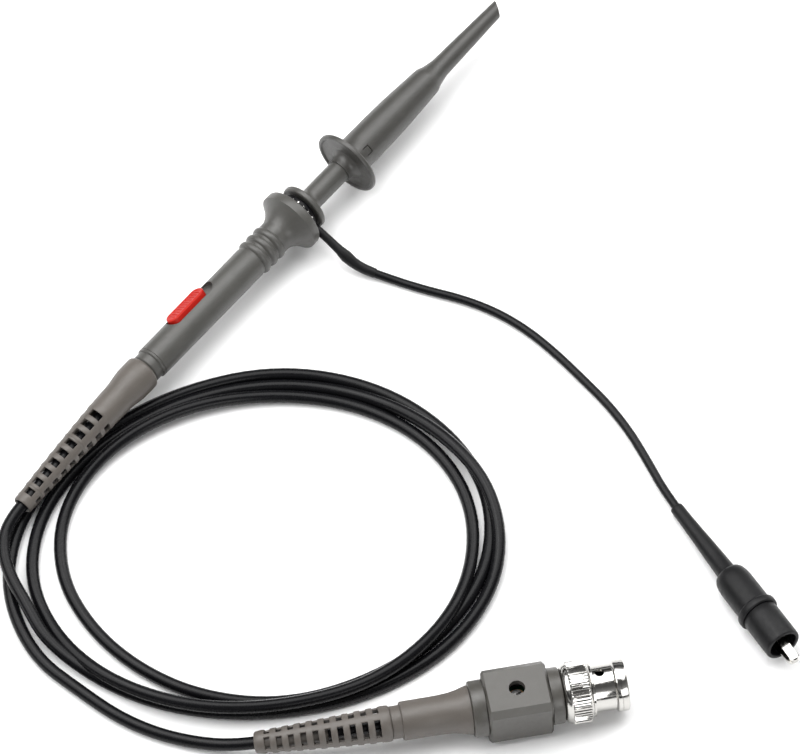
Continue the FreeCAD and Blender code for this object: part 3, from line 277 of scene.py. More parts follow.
finishes = {
    "shellPlastic": {"tint": (0.058, 0.0565, 0.052), "mottle": 0.12, "grain": 5200, "rough": 0.40,
        "rub": 0.05, "bump": 0.10, "mark": 0.10},
    "sleevePlastic": {"tint": (0.045, 0.0435, 0.040), "mottle": 0.12, "grain": 5200, "rough": 0.38,
        "rub": 0.05, "bump": 0.10, "mark": 0.12},
    "boxPlastic": {"tint": (0.056, 0.053, 0.047), "mottle": 0.12, "grain": 4800, "rough": 0.36,
        "rub": 0.05, "bump": 0.08, "mark": 0.08},
    "bootRubber": {"tint": (0.082, 0.072, 0.063), "mottle": 0.14, "grain": 4200, "rough": 0.46,
        "rub": 0.06, "bump": 0.12, "mark": 0.08},
    "cableJacket": {"tint": (0.0035, 0.0035, 0.0042), "mottle": 0.25, "grain": 3600, "rough": 0.27,
        "rub": 0.03, "bump": 0.008, "mark": 0.0, "shine": 0.16},
    "blackRubber": {"tint": (0.0045, 0.0045, 0.005), "mottle": 0.25, "grain": 4200, "rough": 0.42,
        "rub": 0.06, "bump": 0.12, "mark": 0.01, "shine": 0.2},
    "redPlastic": {"tint": (0.37, 0.008, 0.003), "mottle": 0.10, "grain": 4200, "rough": 0.40,
        "rub": 0.06, "bump": 0.08, "mark": 0.02, "shine": 0.25},
    "nickel": {"tint": (0.50, 0.49, 0.47), "mottle": 0.06, "grain": 5200, "rough": 0.13, "rub": 0.05,
        "bump": 0.02, "mark": 0.05, "metal": 1},
    "tin": {"tint": (0.26, 0.255, 0.25), "mottle": 0.12, "grain": 5200, "rough": 0.30, "rub": 0.10,
        "bump": 0.05, "mark": 0.10, "metal": 1},
    "springSteel": {"tint": (0.55, 0.55, 0.56), "mottle": 0.12, "grain": 5200, "rough": 0.25,
        "rub": 0.08, "bump": 0.04, "mark": 0.08, "metal": 1},
    "goldBrass": {"tint": (0.83, 0.60, 0.24), "mottle": 0.10, "grain": 5200, "rough": 0.20, "rub": 0.07,
        "bump": 0.03, "mark": 0.06, "metal": 1},
    "brass": {"tint": (0.70, 0.53, 0.26), "mottle": 0.16, "grain": 5200, "rough": 0.30, "rub": 0.10,
        "bump": 0.05, "mark": 0.10, "metal": 1},
    "whiteInsulator": {"tint": (0.80, 0.79, 0.75), "mottle": 0.06, "grain": 4200, "rough": 0.40,
        "rub": 0.05, "bump": 0.05, "mark": 0.04},
    "circuitBoard": {"tint": (0.02, 0.15, 0.06), "mottle": 0.30, "grain": 2200, "rough": 0.32,
        "rub": 0.06, "bump": 0.08, "mark": 0.10},
    "ceramic": {"tint": (0.42, 0.27, 0.15), "mottle": 0.16, "grain": 4200, "rough": 0.45, "rub": 0.06,
        "bump": 0.08, "mark": 0.05},
    "filmResistor": {"tint": (0.22, 0.38, 0.52), "mottle": 0.08, "grain": 4200, "rough": 0.30,
        "rub": 0.05, "bump": 0.05, "mark": 0.03},
}


def makeMaterial(name, finish):
    material = bpy.data.materials.new(name)
    material.use_nodes = True
    tree = material.node_tree
    shader = tree.nodes["Principled BSDF"]
    surface, marks = tree.nodes.new("ShaderNodeGroup"), tree.nodes.new("ShaderNodeGroup")
    surface.node_tree, marks.node_tree = moulded, wear
    tint = finish["tint"]
    surface.inputs["Tint"].default_value = (*tint, 1)
    surface.inputs["Mottle"].default_value = finish["mottle"]
    surface.inputs["Grain Scale"].default_value = finish["grain"]
    surface.inputs["Roughness"].default_value = finish["rough"]
    surface.inputs["Rub"].default_value = finish["rub"]
    marks.inputs["Mark"].default_value = (*[min(1, 0.06 + v * 1.35) for v in tint], 1)
    marks.inputs["Amount"].default_value = finish["mark"]
    bump = tree.nodes.new("ShaderNodeBump")
    bump.inputs["Strength"].default_value = finish["bump"]
    bump.inputs["Distance"].default_value = 0.0002
    link = tree.links.new
    link(surface.outputs["Color"], marks.inputs["Color"])
    link(marks.outputs["Color"], shader.inputs["Base Color"])
    link(surface.outputs["Roughness"], shader.inputs["Roughness"])
    link(surface.outputs["Height"], bump.inputs["Height"])
    link(bump.outputs["Normal"], shader.inputs["Normal"])
    shader.inputs["Metallic"].default_value = finish.get("metal", 0)
    shader.inputs["Specular IOR Level"].default_value = finish.get("shine", 0.5)
    return material


materials = {name: makeMaterial(name, finish) for name, finish in finishes.items()}
cablePiece.data.materials.append(materials["cableJacket"])
leadPiece.data.materials.append(materials["cableJacket"])
print("materials made,", len(materials))

# where each part of the object stands
headPlace = Matrix.Scale(mm, 4) @ Matrix.Translation((-61.825, 0, 8.35))
plugPlace = Matrix.Scale(mm, 4) @ Matrix.Translation((-75.8, -121.9,
    7.3)) @ Matrix.Rotation(math.radians(-39.2), 4, "Z")
clipPlace = Matrix.Scale(mm, 4) @ Matrix.Translation((-10.3, -115.2,
    1.8)) @ Matrix.Rotation(math.radians(-107.9), 4, "Z") @ Matrix.Rotation(math.radians(-5.5), 4, "Y")
fullTurn = 2 * math.pi


def spun(outline, steps=72):
    # a closed outline of (x, radius) pairs turned about the x axis
    work = bmesh.new()
    verts = [work.verts.new((x, 0, r)) for x, r in outline]
    edges = [work.edges.new(pair) for pair in zip(verts, verts[1:])]
    if outline[0][1] > 0 or outline[-1][1] > 0:
        edges.append(work.edges.new((verts[-1], verts[0])))
    bmesh.ops.spin(work, geom=verts + edges, cent=(0, 0, 0), axis=(1, 0, 0), angle=fullTurn, steps=steps,
        use_merge=True)
    bmesh.ops.remove_doubles(work, verts=work.verts, dist=1e-4)
    bmesh.ops.recalc_face_normals(work, faces=work.faces)
    return work


def finished(name, work, place, material, body, replaced=(), bevel=0, bevelSegments=2, sharp=32):
    # turns a bmesh into a piece that rides on its body
    bmesh.ops.transform(work, matrix=place, verts=work.verts)
    mesh = bpy.data.meshes.new(name)
    work.to_mesh(mesh)
    work.free()
    mesh.materials.append(materials[material])
    mesh.shade_smooth()
    mesh.set_sharp_from_angle(angle=math.radians(sharp))
    piece = bpy.data.objects.new(name, mesh)
    bpy.context.collection.objects.link(piece)
    if bevel:
        soften = piece.modifiers.new("softEdges", "BEVEL")
        soften.width = bevel * mm
        soften.segments = bevelSegments
        soften.limit_method = "ANGLE"
        soften.angle_limit = math.radians(35)
        soften.use_clamp_overlap = True
    if body:
        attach(piece, body)
    if replaced:
        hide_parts(*replaced)
    return piece


def stadiumBlock(length, width, low, high, segments=12):
    # an upright block with half round ends, its middle at the origin
    work = bmesh.new()
    bmesh.ops.create_circle(work, cap_ends=True, segments=4 * segments, radius=width / 2,
        matrix=Matrix.Rotation(math.pi / (4 * segments), 4, "Z"))
    for vert in work.verts:
        vert.co.x += (length - width) / 2 * (1 if vert.co.x > 0 else -1)
        vert.co.z = low
    raised = bmesh.ops.extrude_face_region(work, geom=work.faces[:])
    bmesh.ops.translate(work, verts=[g for g in raised["geom"] if isinstance(g, bmesh.types.BMVert)],
        vec=(0, 0, high - low))
    bmesh.ops.recalc_face_normals(work, faces=work.faces)
    return work


def carved(piece, *cutters):
    # cuts the cutters' shapes out of the piece for good, then drops them
    for cutter in cutters:
        mesh = bpy.data.meshes.new("cutter")
        cutter.to_mesh(mesh)
        cutter.free()
        tool = bpy.data.objects.new("cutter", mesh)
        bpy.context.collection.objects.link(tool)
        cut = piece.modifiers.new("cut", "BOOLEAN")
        cut.operation = "DIFFERENCE"
        cut.solver = "EXACT"
        cut.object = tool
        piece.modifiers.move(len(piece.modifiers) - 1, 0)
        bpy.context.view_layer.update()
        others = [m for m in piece.modifiers if m != cut]
        shown = [m.show_viewport for m in others]
        for m in others:
            m.show_viewport = False
        bpy.context.view_layer.update()
        result = bpy.data.meshes.new_from_object(piece.evaluated_get(bpy.context.evaluated_depsgraph_get()))
        for m, state in zip(others, shown):
            m.show_viewport = state
        piece.modifiers.remove(cut)
        piece.data = result
        bpy.data.objects.remove(tool)
    piece.data.shade_smooth()
    piece.data.set_sharp_from_angle(angle=math.radians(32))
    return piece


def placed(work, place):
    bmesh.ops.transform(work, matrix=place, verts=work.verts)
    return work


# head shell with its three beads and the flared finger guard
headShell = {"radius": 4.075, "bore": 2.8, "beads": (37.25, 39.75, 42.25), "beadHalf": 0.92,
    "beadRadius": 4.52, "waist": 3.9, "neck": 4.15, "neckEnd": 45.5, "guardStart": 49.35,
    "guardRadius": 7.75, "roll": -40}
switchSlot = {"at": 16.7, "length": 15.0, "width": 4.3, "low": 1.5, "high": 6.0}
switchBed = {"at": 16.75, "length": 15.6, "width": 5.0, "low": 2.84, "high": 3.0}


def headShellOutline(s):
    outline = [(0.0, s["radius"] - 0.25), (0.25, s["radius"]), (0.62, s["radius"]),
        (0.7, s["radius"] - 0.13), (0.8, s["radius"] - 0.13), (0.88, s["radius"])]
    outline += [(x, s["radius"]) for x in (9.0, 18.0, 27.0)] + [(35.4, s["radius"])]
    for centre in s["beads"]:
        for i in range(9):
            lean = -1 + i / 4
            outline.append((centre + lean * s["beadHalf"], s["waist"] + (s["beadRadius"] - s["waist"])
                * (1 - lean * lean) ** 0.6))
    outline += [(43.75, s["neck"]), (s["neckEnd"] - 0.6, s["neck"])]
    for i in range(1, 13):
        share = i / 12
        outline.append((s["neckEnd"] - 0.6 + share * (s["guardStart"] - s["neckEnd"] + 0.6),
            s["neck"] + (s["guardRadius"] - s["neck"]) * (0.28 * share + 0.72 * share ** 2.1)))
    outline += [(50.0, s["guardRadius"] + 0.02), (51.1, s["guardRadius"]),
        (51.5, s["guardRadius"] - 0.18), (51.72, s["guardRadius"] - 0.55)]
    outline += [(51.75, s["guardRadius"] - 1.1), (51.75, 4.0), (51.5, 3.75), (49.2, 3.75), (49.2, 2.03),
        (44.4, 2.03), (44.4, s["bore"]), (0.0, s["bore"])]
    return outline


shellPiece = finished("head_case", spun(headShellOutline(headShell), 96), headPlace, "shellPlastic",
    "probe", ["head_shell"], bevel=0.06)
slotPlace = headPlace @ Matrix.Rotation(math.radians(headShell["roll"]), 4, "X")
slotBlock = stadiumBlock(switchSlot["length"], switchSlot["width"], switchSlot["low"], switchSlot["high"])
carved(shellPiece, placed(slotBlock, slotPlace @ Matrix.Translation((switchSlot["at"], 0, 0))))

# sliding switch knob, with a shallow dish and fine cross ribs
switchKnob = {"start": 9.6, "length": 11.8, "width": 3.9, "base": 3.02, "top": 4.62, "ribs": 11,
    "pitch": 0.86, "rib": (0.36, 0.34), "ribTrim": 1.7}


def switchKnobPiece(s):
    work = stadiumBlock(s["length"], s["width"], s["base"], s["top"], 10)
    top = max(work.faces, key=lambda f: f.calc_center_median().z)
    bmesh.ops.inset_region(work, faces=[top], thickness=0.45, depth=0.16)
    top = max((f for f in work.faces if len(f.verts) > 20), key=lambda f: f.calc_center_median().z)
    bmesh.ops.inset_region(work, faces=[top], thickness=0.3, depth=-0.1)
    for i in range(s["ribs"]):
        x = (i - (s["ribs"] - 1) / 2) * s["pitch"]
        bmesh.ops.create_cube(work, size=1, matrix=Matrix.Translation((x, 0, s["top"]))
            @ Matrix.Diagonal((s["rib"][0], s["width"] - s["ribTrim"], s["rib"][1], 1)))
    return work


finished("switch_slider", switchKnobPiece(switchKnob),
    slotPlace @ Matrix.Translation((switchKnob["start"] + switchKnob["length"] / 2, 0, 0)), "redPlastic",
    "switch", ["switch_knob"], bevel=0.14, bevelSegments=3)
bedBlock = stadiumBlock(switchBed["length"], switchBed["width"], switchBed["low"], switchBed["high"], 10)
finished("switch_bed", bedBlock, slotPlace @ Matrix.Translation((switchBed["at"], 0, 0)),
    "sleevePlastic", "probe", ())
print("head shell and switch made")

# hook: rear flange and barrel, then the sleeve that slides on it
hookBarrel = {"flangeAt": 54.25, "flangeEnd": 55.75, "flangeRadius": 5.95, "bossRadius": 3.6,
    "bossEnd": 57.95, "radius": 2.75, "end": 71.95, "spindle": 1.6, "reach": 83.45, "bore": 2.03}


def hookBarrelOutline(s):
    outline = [(s["flangeAt"], 2.6), (s["flangeAt"] + 0.32, 4.2),
        (s["flangeAt"] + 0.1, s["flangeRadius"] - 0.75), (s["flangeAt"], s["flangeRadius"] - 0.35),
        (s["flangeAt"] + 0.25, s["flangeRadius"] - 0.05), (s["flangeAt"] + 0.6, s["flangeRadius"])]
    outline += [(s["flangeEnd"] - 0.4, s["flangeRadius"]),
        (s["flangeEnd"] - 0.1, s["flangeRadius"] - 0.2), (s["flangeEnd"], s["flangeRadius"] - 0.6),
        (s["flangeEnd"] + 0.1, 4.3), (s["flangeEnd"] + 0.35, s["bossRadius"])]
    for i in range(1, 7):
        share = i / 6
        outline.append((s["flangeEnd"] + 0.35 + share * (s["bossEnd"] - s["flangeEnd"] - 0.35),
            s["bossRadius"] + (s["radius"] - s["bossRadius"]) * math.sin(share * math.pi / 2)))
    outline += [(64.0, s["radius"]), (s["end"] - 0.2, s["radius"]), (s["end"], s["radius"] - 0.2),
        (s["end"], s["spindle"]), (s["reach"], s["spindle"]), (s["reach"], 0.85), (s["end"] - 1, 0.85),
        (s["end"] - 7.5, 0.85), (s["end"] - 8.2, s["bore"] + 0.02), (s["flangeAt"], s["bore"] + 0.02)]
    return outline


finished("hook_body", spun(hookBarrelOutline(hookBarrel), 72), headPlace, "shellPlastic", "hook",
    ["hook_barrel"], bevel=0.05)

hookSleeve = {"bossStart": 67.55, "fingerAt": 69.95, "fingerEnd": 71.15, "fingerRadius": 8.35,
    "radius": 4.5, "frontAt": 88.15, "frontRadius": 4.25, "taperAt": 98.9, "taperRadius": 3.6,
    "noseAt": 103.9, "noseRoot": 2.425, "noseEnd": 125.9, "noseRadius": 1.8, "slant": 2.25, "bore": 1.25}


def hookSleeveOutline(s):
    outline = [(s["bossStart"], 2.85), (s["bossStart"], 3.15)]
    for i in range(1, 8):
        share = i / 7
        outline.append((s["bossStart"] + share * (s["fingerAt"] - s["bossStart"] - 0.05),
            3.15 + 0.75 * share ** 4))
    outline += [(s["fingerAt"] + 0.3, 4.3), (s["fingerAt"] + 0.3, 7.2),
        (s["fingerAt"] - 0.06, s["fingerRadius"] - 0.75),
        (s["fingerAt"] - 0.08, s["fingerRadius"] - 0.4),
        (s["fingerAt"] + 0.05, s["fingerRadius"] - 0.12), (s["fingerAt"] + 0.3, s["fingerRadius"])]
    outline += [(s["fingerEnd"] - 0.35, s["fingerRadius"]),
        (s["fingerEnd"] - 0.05, s["fingerRadius"] - 0.22), (s["fingerEnd"], s["fingerRadius"] - 0.6),
        (s["fingerEnd"] + 0.12, 5.4), (s["fingerEnd"] + 0.45, 4.75), (s["fingerEnd"] + 1.0, s["radius"])]
    outline += [(76.0, s["radius"]), (82.0, s["radius"] - 0.06), (s["frontAt"], s["frontRadius"]),
        (93.5, 3.95), (s["taperAt"], s["taperRadius"]), (99.5, 3.5), (100.2, 3.25), (101.0, 2.98),
        (102.2, 2.72), (s["noseAt"], s["noseRoot"])]
    outline += [(110.0, 2.25), (118.0, 2.02), (s["noseEnd"] - 0.3, s["noseRadius"]),
        (s["noseEnd"], s["noseRadius"] - 0.25), (s["noseEnd"], s["bore"]), (100.6, s["bore"]),
        (100.6, 2.2), (98.4, 2.2), (72.3, 2.87)]
    return outline


sleevePiece = finished("hook_slider", spun(hookSleeveOutline(hookSleeve), 72), headPlace,
    "sleevePlastic", "sleeve", ["hook_sleeve"], bevel=0.05)


def noseSlantCutter(s):
    # a wedge that slants the mouth of the nose, longer on the far side
    work = bmesh.new()
    bmesh.ops.create_cube(work, size=1, matrix=Matrix.Diagonal((6, 12, 12, 1)))
    lean = math.atan2(s["slant"], 2 * s["noseRadius"])
    return placed(work, headPlace @ Matrix.Translation((s["noseEnd"] - s["slant"] / 2, 0, 0))
        @ Matrix.Rotation(-lean, 4, "Z") @ Matrix.Translation((3.0, 0, 0)))


def boxCutter(place, size):
    work = bmesh.new()
    bmesh.ops.create_cube(work, size=1, matrix=Matrix.Diagonal((*size, 1)))
    return placed(work, place)


latchPlace = headPlace @ Matrix.Rotation(math.radians(52), 4, "X")
# the three grooves round the latch tongue: middle and size
latchGrooves = [((74.6, 0, 4.6), (1.75, 0.22, 1.1)), ((75.4, 0.9, 4.5), (0.22, 2.0, 1.3)),
    ((74.6, 1.85, 4.3), (1.75, 0.22, 1.3))]
latchCuts = [boxCutter(latchPlace @ Matrix.Translation(middle), size) for middle, size in latchGrooves]
carved(sleevePiece, noseSlantCutter(hookSleeve), *latchCuts)
print("hook made")


# boots: a bent tapering tube with rows of windows, over a plain inner liner
def bootGrid(s, name, place, body, replaced):
    start, down, radius = Vector(s["start"]), Vector(s["down"]).normalized(), s["bend"]
    side = Vector((-1, 0, 0)).cross(down).normalized()

    def frameAt(distance):
        angle = distance / radius
        middle = start + Vector((-1, 0, 0)) * radius * math.sin(angle) + down * radius * (1 - math.cos(angle))
        heading = Vector((-1, 0, 0)) * math.cos(angle) + down * math.sin(angle)
        return middle, side.cross(heading)

    def radiusAt(distance):
        for (a, ra), (b, rb) in zip(s["radii"], s["radii"][1:]):
            if distance <= b:
                return ra + (rb - ra) * (distance - a) / (b - a)
        return s["radii"][-1][1]

    ridges = {round(s["first"] + (i + 0.5) * s["pitch"], 3) for i in range(-1, s["count"])}
    stations = sorted({round(d, 3) for d, r in s["radii"]} | ridges
        | {round(s["first"] + i * s["pitch"] + edge, 3) for i in range(s["count"])
        for edge in (-s["width"] / 2, s["width"] / 2)})
    segments = s["segments"]
    work = bmesh.new()
    bmesh.ops.create_circle(work, segments=segments, radius=1)
    ring = work.verts[:]
    angles = [fullTurn * i / segments for i in range(segments)]

    def layRing(verts, distance):
        middle, other = frameAt(distance)
        reach = radiusAt(distance) + (s["wave"] if distance in ridges else 0)
        for vert, angle in zip(verts, angles):
            vert.co = middle + (side * math.cos(angle) + other * math.sin(angle)) * reach

    layRing(ring, stations[0])
    edges = work.edges[:]
    doomed = []
    zero = math.atan2(Vector((0, 0, 1)).dot(frameAt(0)[1]), Vector((0, 0, 1)).dot(side))
    for before, distance in zip(stations, stations[1:]):
        made = bmesh.ops.extrude_edge_only(work, edges=edges)["geom"]
        fresh = [g for g in made if isinstance(g, bmesh.types.BMVert)]
        edges = [g for g in made if isinstance(g, bmesh.types.BMEdge) and all(v in fresh for v in g.verts)]
        order = {}
        for vert in fresh:
            old = [e.other_vert(vert) for e in vert.link_edges if e.other_vert(vert) not in fresh][0]
            order[ring.index(old)] = vert
        ring = [order[i] for i in range(segments)]
        layRing(ring, distance)
        middleAt = (before + distance) / 2
        index = round((middleAt - s["first"]) / s["pitch"])
        if 0 <= index < s["count"] and abs(middleAt - s["first"] - index
                * s["pitch"]) < s["width"] / 2 - 0.01:
            span = s["arc"][0] + (s["arc"][1] - s["arc"][0]) * index / (s["count"] - 1)
            for i in range(segments):
                face = [f for f in ring[i].link_faces if ring[(i + 1) % segments] in f.verts][0]
                turned = (angles[i] + math.pi / segments - zero - math.radians(s["rowTurn"])) % (math.pi / 2)
                if min(turned, math.pi / 2 - turned) < math.radians(span / 2):
                    doomed.append(face)
    bmesh.ops.delete(work, geom=doomed, context="FACES")
    bmesh.ops.recalc_face_normals(work, faces=work.faces)
    outward = max(work.faces, key=lambda f: f.calc_center_median().z)
    if outward.normal.z < 0:
        bmesh.ops.reverse_faces(work, faces=work.faces)
    piece = finished(name, work, place, s["material"], body, replaced, sharp=50)
    wall = piece.modifiers.new("wall", "SOLIDIFY")
    wall.thickness = s["wall"] * mm
    wall.offset = -1
    wall.use_even_offset = False
    soften = piece.modifiers.new("softEdges", "BEVEL")
    soften.width = 0.13 * mm
    soften.segments = 2
    soften.limit_method = "ANGLE"
    soften.angle_limit = math.radians(50)
    return frameAt


def linerTube(s, frameAt, name, place, body):
    # the plain tube inside the windows of a boot
    work = bmesh.new()
    segments = 32
    bmesh.ops.create_circle(work, segments=segments, radius=1)
    ring, edges = work.verts[:], work.edges[:]
    for i, distance in enumerate([s["liner"][0] + (s["liner"][1] - s["liner"][0]) * k / 12
            for k in range(13)]):
        middle, other = frameAt(distance)
        side = other.cross((frameAt(distance + 0.1)[0] - middle).normalized()).normalized()
        if i:
            made = bmesh.ops.extrude_edge_only(work, edges=edges)["geom"]
            fresh = [g for g in made if isinstance(g, bmesh.types.BMVert)]
            edges = [g for g in made if isinstance(g, bmesh.types.BMEdge)
                and all(v in fresh for v in g.verts)]
            order = {}
            for vert in fresh:
                old = [e.other_vert(vert) for e in vert.link_edges if e.other_vert(vert) not in fresh][0]
                order[ring.index(old)] = vert
            ring = [order[k] for k in range(segments)]
        for k, vert in enumerate(ring):
            angle = fullTurn * k / segments
            vert.co = middle + (side * math.cos(angle) + other * math.sin(angle)) * s["linerRadius"]
    bmesh.ops.recalc_face_normals(work, faces=work.faces)
    outward = max(work.faces, key=lambda f: f.calc_center_median().z)
    if outward.normal.z < 0:
        bmesh.ops.reverse_faces(work, faces=work.faces)
    piece = finished(name, work, place, s["material"], body, (), sharp=50)
    wall = piece.modifiers.new("wall", "SOLIDIFY")
    wall.thickness = 0.16 * mm
    wall.offset = -1


headBoot = {
    "start": (-2.3, 0, 0), "down": (0, -0.225, -0.974), "bend": 352.86,
    "radii": [(0, 3.55), (0.12, 3.85), (0.5, 4.28), (0.9, 4.4), (2.5, 4.42), (4.9, 4.38), (6.2, 4.22),
        (7.6, 4.0), (8.9, 3.85), (10.5, 3.78), (12.5, 3.74), (15.0, 3.64), (20.0, 3.42), (25.0, 3.2),
        (30.0, 2.98), (35.0, 2.77), (40.0, 2.55), (43.3, 2.42), (43.9, 2.44), (44.4, 2.36), (44.6, 2.2)],
    "first": 17.4, "pitch": 3.0, "width": 1.65, "count": 9, "arc": (57, 57), "rowTurn": 0, "wave": 0.1,
    "wall": 0.62, "segments": 72,
    "material": "bootRubber",
}
plugBoot = {
    "start": (-29.52, 0, 0), "down": (0, 0.610, -0.792), "bend": 114.96,
    "radii": [(0, 4.0), (0.4, 4.22), (1.0, 4.25), (2.0, 4.22), (6.0, 4.02), (10.0, 3.8), (14.0, 3.58),
        (18.0, 3.36), (22.0, 3.13), (26.0, 2.9), (29.2, 2.72), (30.4, 2.68), (31.2, 2.55), (31.5, 2.3)],
    "first": 3.2, "pitch": 2.8, "width": 1.3, "count": 10, "arc": (66, 70), "rowTurn": -45, "wave": 0.05,
    "wall": 0.62, "segments": 72,
    "liner": (14.5, 31.2), "linerRadius": 1.75, "material": "bootRubber",
}
bootGrid(headBoot, "head_boot", headPlace, "probe", ["head_strain_relief"])
plugFrame = bootGrid(plugBoot, "plug_boot", plugPlace, "probe", ["bnc_strain_relief"])
linerTube(plugBoot, plugFrame, "plug_boot_core", plugPlace, "probe")

# rubber sleeve behind the box
rearSleeve = {"material": "bootRubber", "outline": [(-29.5, 2.2), (-29.5, 3.75), (-29.3, 3.85),
    (-27.15, 3.85), (-27.1, 4.1), (-27.05, 4.4), (-26.75, 4.55), (-20.0, 4.55), (-17.5, 4.6),
    (-15.5, 4.75), (-13.8, 5.05), (-12.4, 5.45), (-11.3, 5.72), (-10.95, 5.72), (-10.95, 5.0),
    (-20.0, 4.0), (-26.0, 3.1), (-27.5, 2.2)]}
finished("plug_sleeve", spun(rearSleeve["outline"], 72), plugPlace, rearSleeve["material"], "probe",
    ["bnc_rear_sleeve"], bevel=0.08)
print("boots made")

# compensation box: square body, round collars at both ends, trimmer hole
compBox = {"half": 7.5, "width": 13.4, "chamfer": 1.5, "rim": 0.55, "bore": 5.3, "hole": 1.9}


def compBoxPiece(s):
    work = bmesh.new()
    bmesh.ops.create_cube(work, size=1, matrix=Matrix.Diagonal((2 * s["half"], s["width"], s["width"], 1)))
    long = [e for e in work.edges if abs(e.verts[0].co.x - e.verts[1].co.x) > 1]
    bmesh.ops.bevel(work, geom=long, affect="EDGES", offset=s["chamfer"], offset_type="OFFSET",
        segments=1, profile=0.5, material=-1)
    rims = [e for e in work.edges if abs(e.verts[0].co.x - e.verts[1].co.x) < 0.01]
    bmesh.ops.bevel(work, geom=rims, affect="EDGES", offset=s["rim"], offset_type="OFFSET", segments=1,
        profile=0.5, material=-1)
    return finished("comp_case", work, plugPlace, "boxPlastic", "probe", ["comp_box"],
        bevel=0.22, bevelSegments=3)


boxPiece = compBoxPiece(compBox)


def drill(radius, depth, place, segments=48):
    work = bmesh.new()
    bmesh.ops.create_cone(work, cap_ends=True, segments=segments, radius1=radius, radius2=radius, depth=depth)
    return placed(work, place)


sideways = Matrix.Rotation(math.pi / 2, 4, "Y")
carved(boxPiece, drill(compBox["bore"], 30, plugPlace @ sideways), drill(compBox["hole"], 6,
    plugPlace @ Matrix.Translation((0, 0, 6.5))))
collars = {
    "rear": [(-7.6, 5.3), (-7.6, 6.6), (-10.4, 6.6), (-10.75, 6.45), (-10.9, 6.1), (-10.9, 3.1),
        (-10.2, 3.1), (-10.2, 5.3)],
    "front": [(7.6, 5.3), (7.6, 6.6), (9.9, 6.6), (10.25, 6.45), (10.4, 6.1), (10.4, 5.35), (9.5, 5.3)],
}
finished("comp_collar_rear", spun(collars["rear"], 72), plugPlace, "boxPlastic", "probe", (),
    bevel=0.06)
finished("comp_collar_front", spun(collars["front"], 72), plugPlace, "boxPlastic", "probe", (),
    bevel=0.06)

# slotted trimmer screw
trimmerScrew = {"radius": 1.4, "low": 1.0, "high": 3.36, "slot": 0.5}
screwMiddle = Matrix.Translation((0, 0, (trimmerScrew["low"] + trimmerScrew["high"]) / 2))
screwWork = drill(trimmerScrew["radius"], trimmerScrew["high"] - trimmerScrew["low"], screwMiddle, 40)
screwPiece = finished("trimmer_head", screwWork, plugPlace, "tin", "trimmer", ["trimmer_screw"],
    bevel=0.1)
screwTop = plugPlace @ Matrix.Translation((0, 0, trimmerScrew["high"])) @ Matrix.Rotation(0.5, 4, "Z")
carved(screwPiece, boxCutter(screwTop, (4, trimmerScrew["slot"], 1.2)))
print("compensation box made")

# bayonet nut: straight knurl, neck and lip
nut = {"knurlStart": 12.15, "knurlEnd": 16.45, "knurlRadius": 7.25, "ridges": 56, "groove": 0.26,
    "holeAt": 19.5, "hole": 1.1, "holeTurn": -12}


def nutPiece(s):
    outline = [(10.5, 4.85), (10.5, 5.9), (10.75, 6.35), (11.2, 6.72), (11.75, 6.98), (12.0, 7.1),
        (s["knurlStart"], s["knurlRadius"]), (s["knurlStart"] + 0.35, s["knurlRadius"]),
        (s["knurlEnd"] - 0.35, s["knurlRadius"]), (s["knurlEnd"], s["knurlRadius"] - 0.05)]
    outline += [(16.75, 6.95), (17.1, 6.45), (17.4, 5.9), (17.62, 5.6), (17.8, 5.47), (18.2, 5.45),
        (22.1, 5.45), (22.45, 5.5), (22.7, 5.75), (22.85, 6.02), (23.1, 6.1), (23.75, 6.1), (23.8, 6.02),
        (23.9, 6.02), (23.95, 6.1), (25.1, 6.1), (25.35, 6.0), (25.5, 5.75), (25.5, 5.1), (25.3, 4.9)]
    outline += [(17.6, 4.9), (17.6, 6.3), (12.0, 6.3), (12.0, 4.85)]
    work = spun(outline, s["ridges"] * 4)
    for vert in work.verts:
        radius = math.hypot(vert.co.y, vert.co.z)
        if s["knurlStart"] + 0.2 < vert.co.x < s["knurlEnd"] - 0.2 and radius > 7.0:
            step = round(math.atan2(vert.co.z, vert.co.y) / (fullTurn / (s["ridges"] * 4))) % 4
            if step in (1, 2):
                shrink = (radius - s["groove"]) / radius
                vert.co.y, vert.co.z = vert.co.y * shrink, vert.co.z * shrink
    return finished("bayonet_nut", work, plugPlace, "nickel", "nut", ["bnc_coupling_nut"], sharp=24)


nutShell = nutPiece(nut)
holePlace = plugPlace @ Matrix.Translation((nut["holeAt"], 0,
    0)) @ Matrix.Rotation(math.radians(nut["holeTurn"]), 4, "X")
carved(nutShell, drill(nut["hole"], 16, holePlace))
print("nut made")

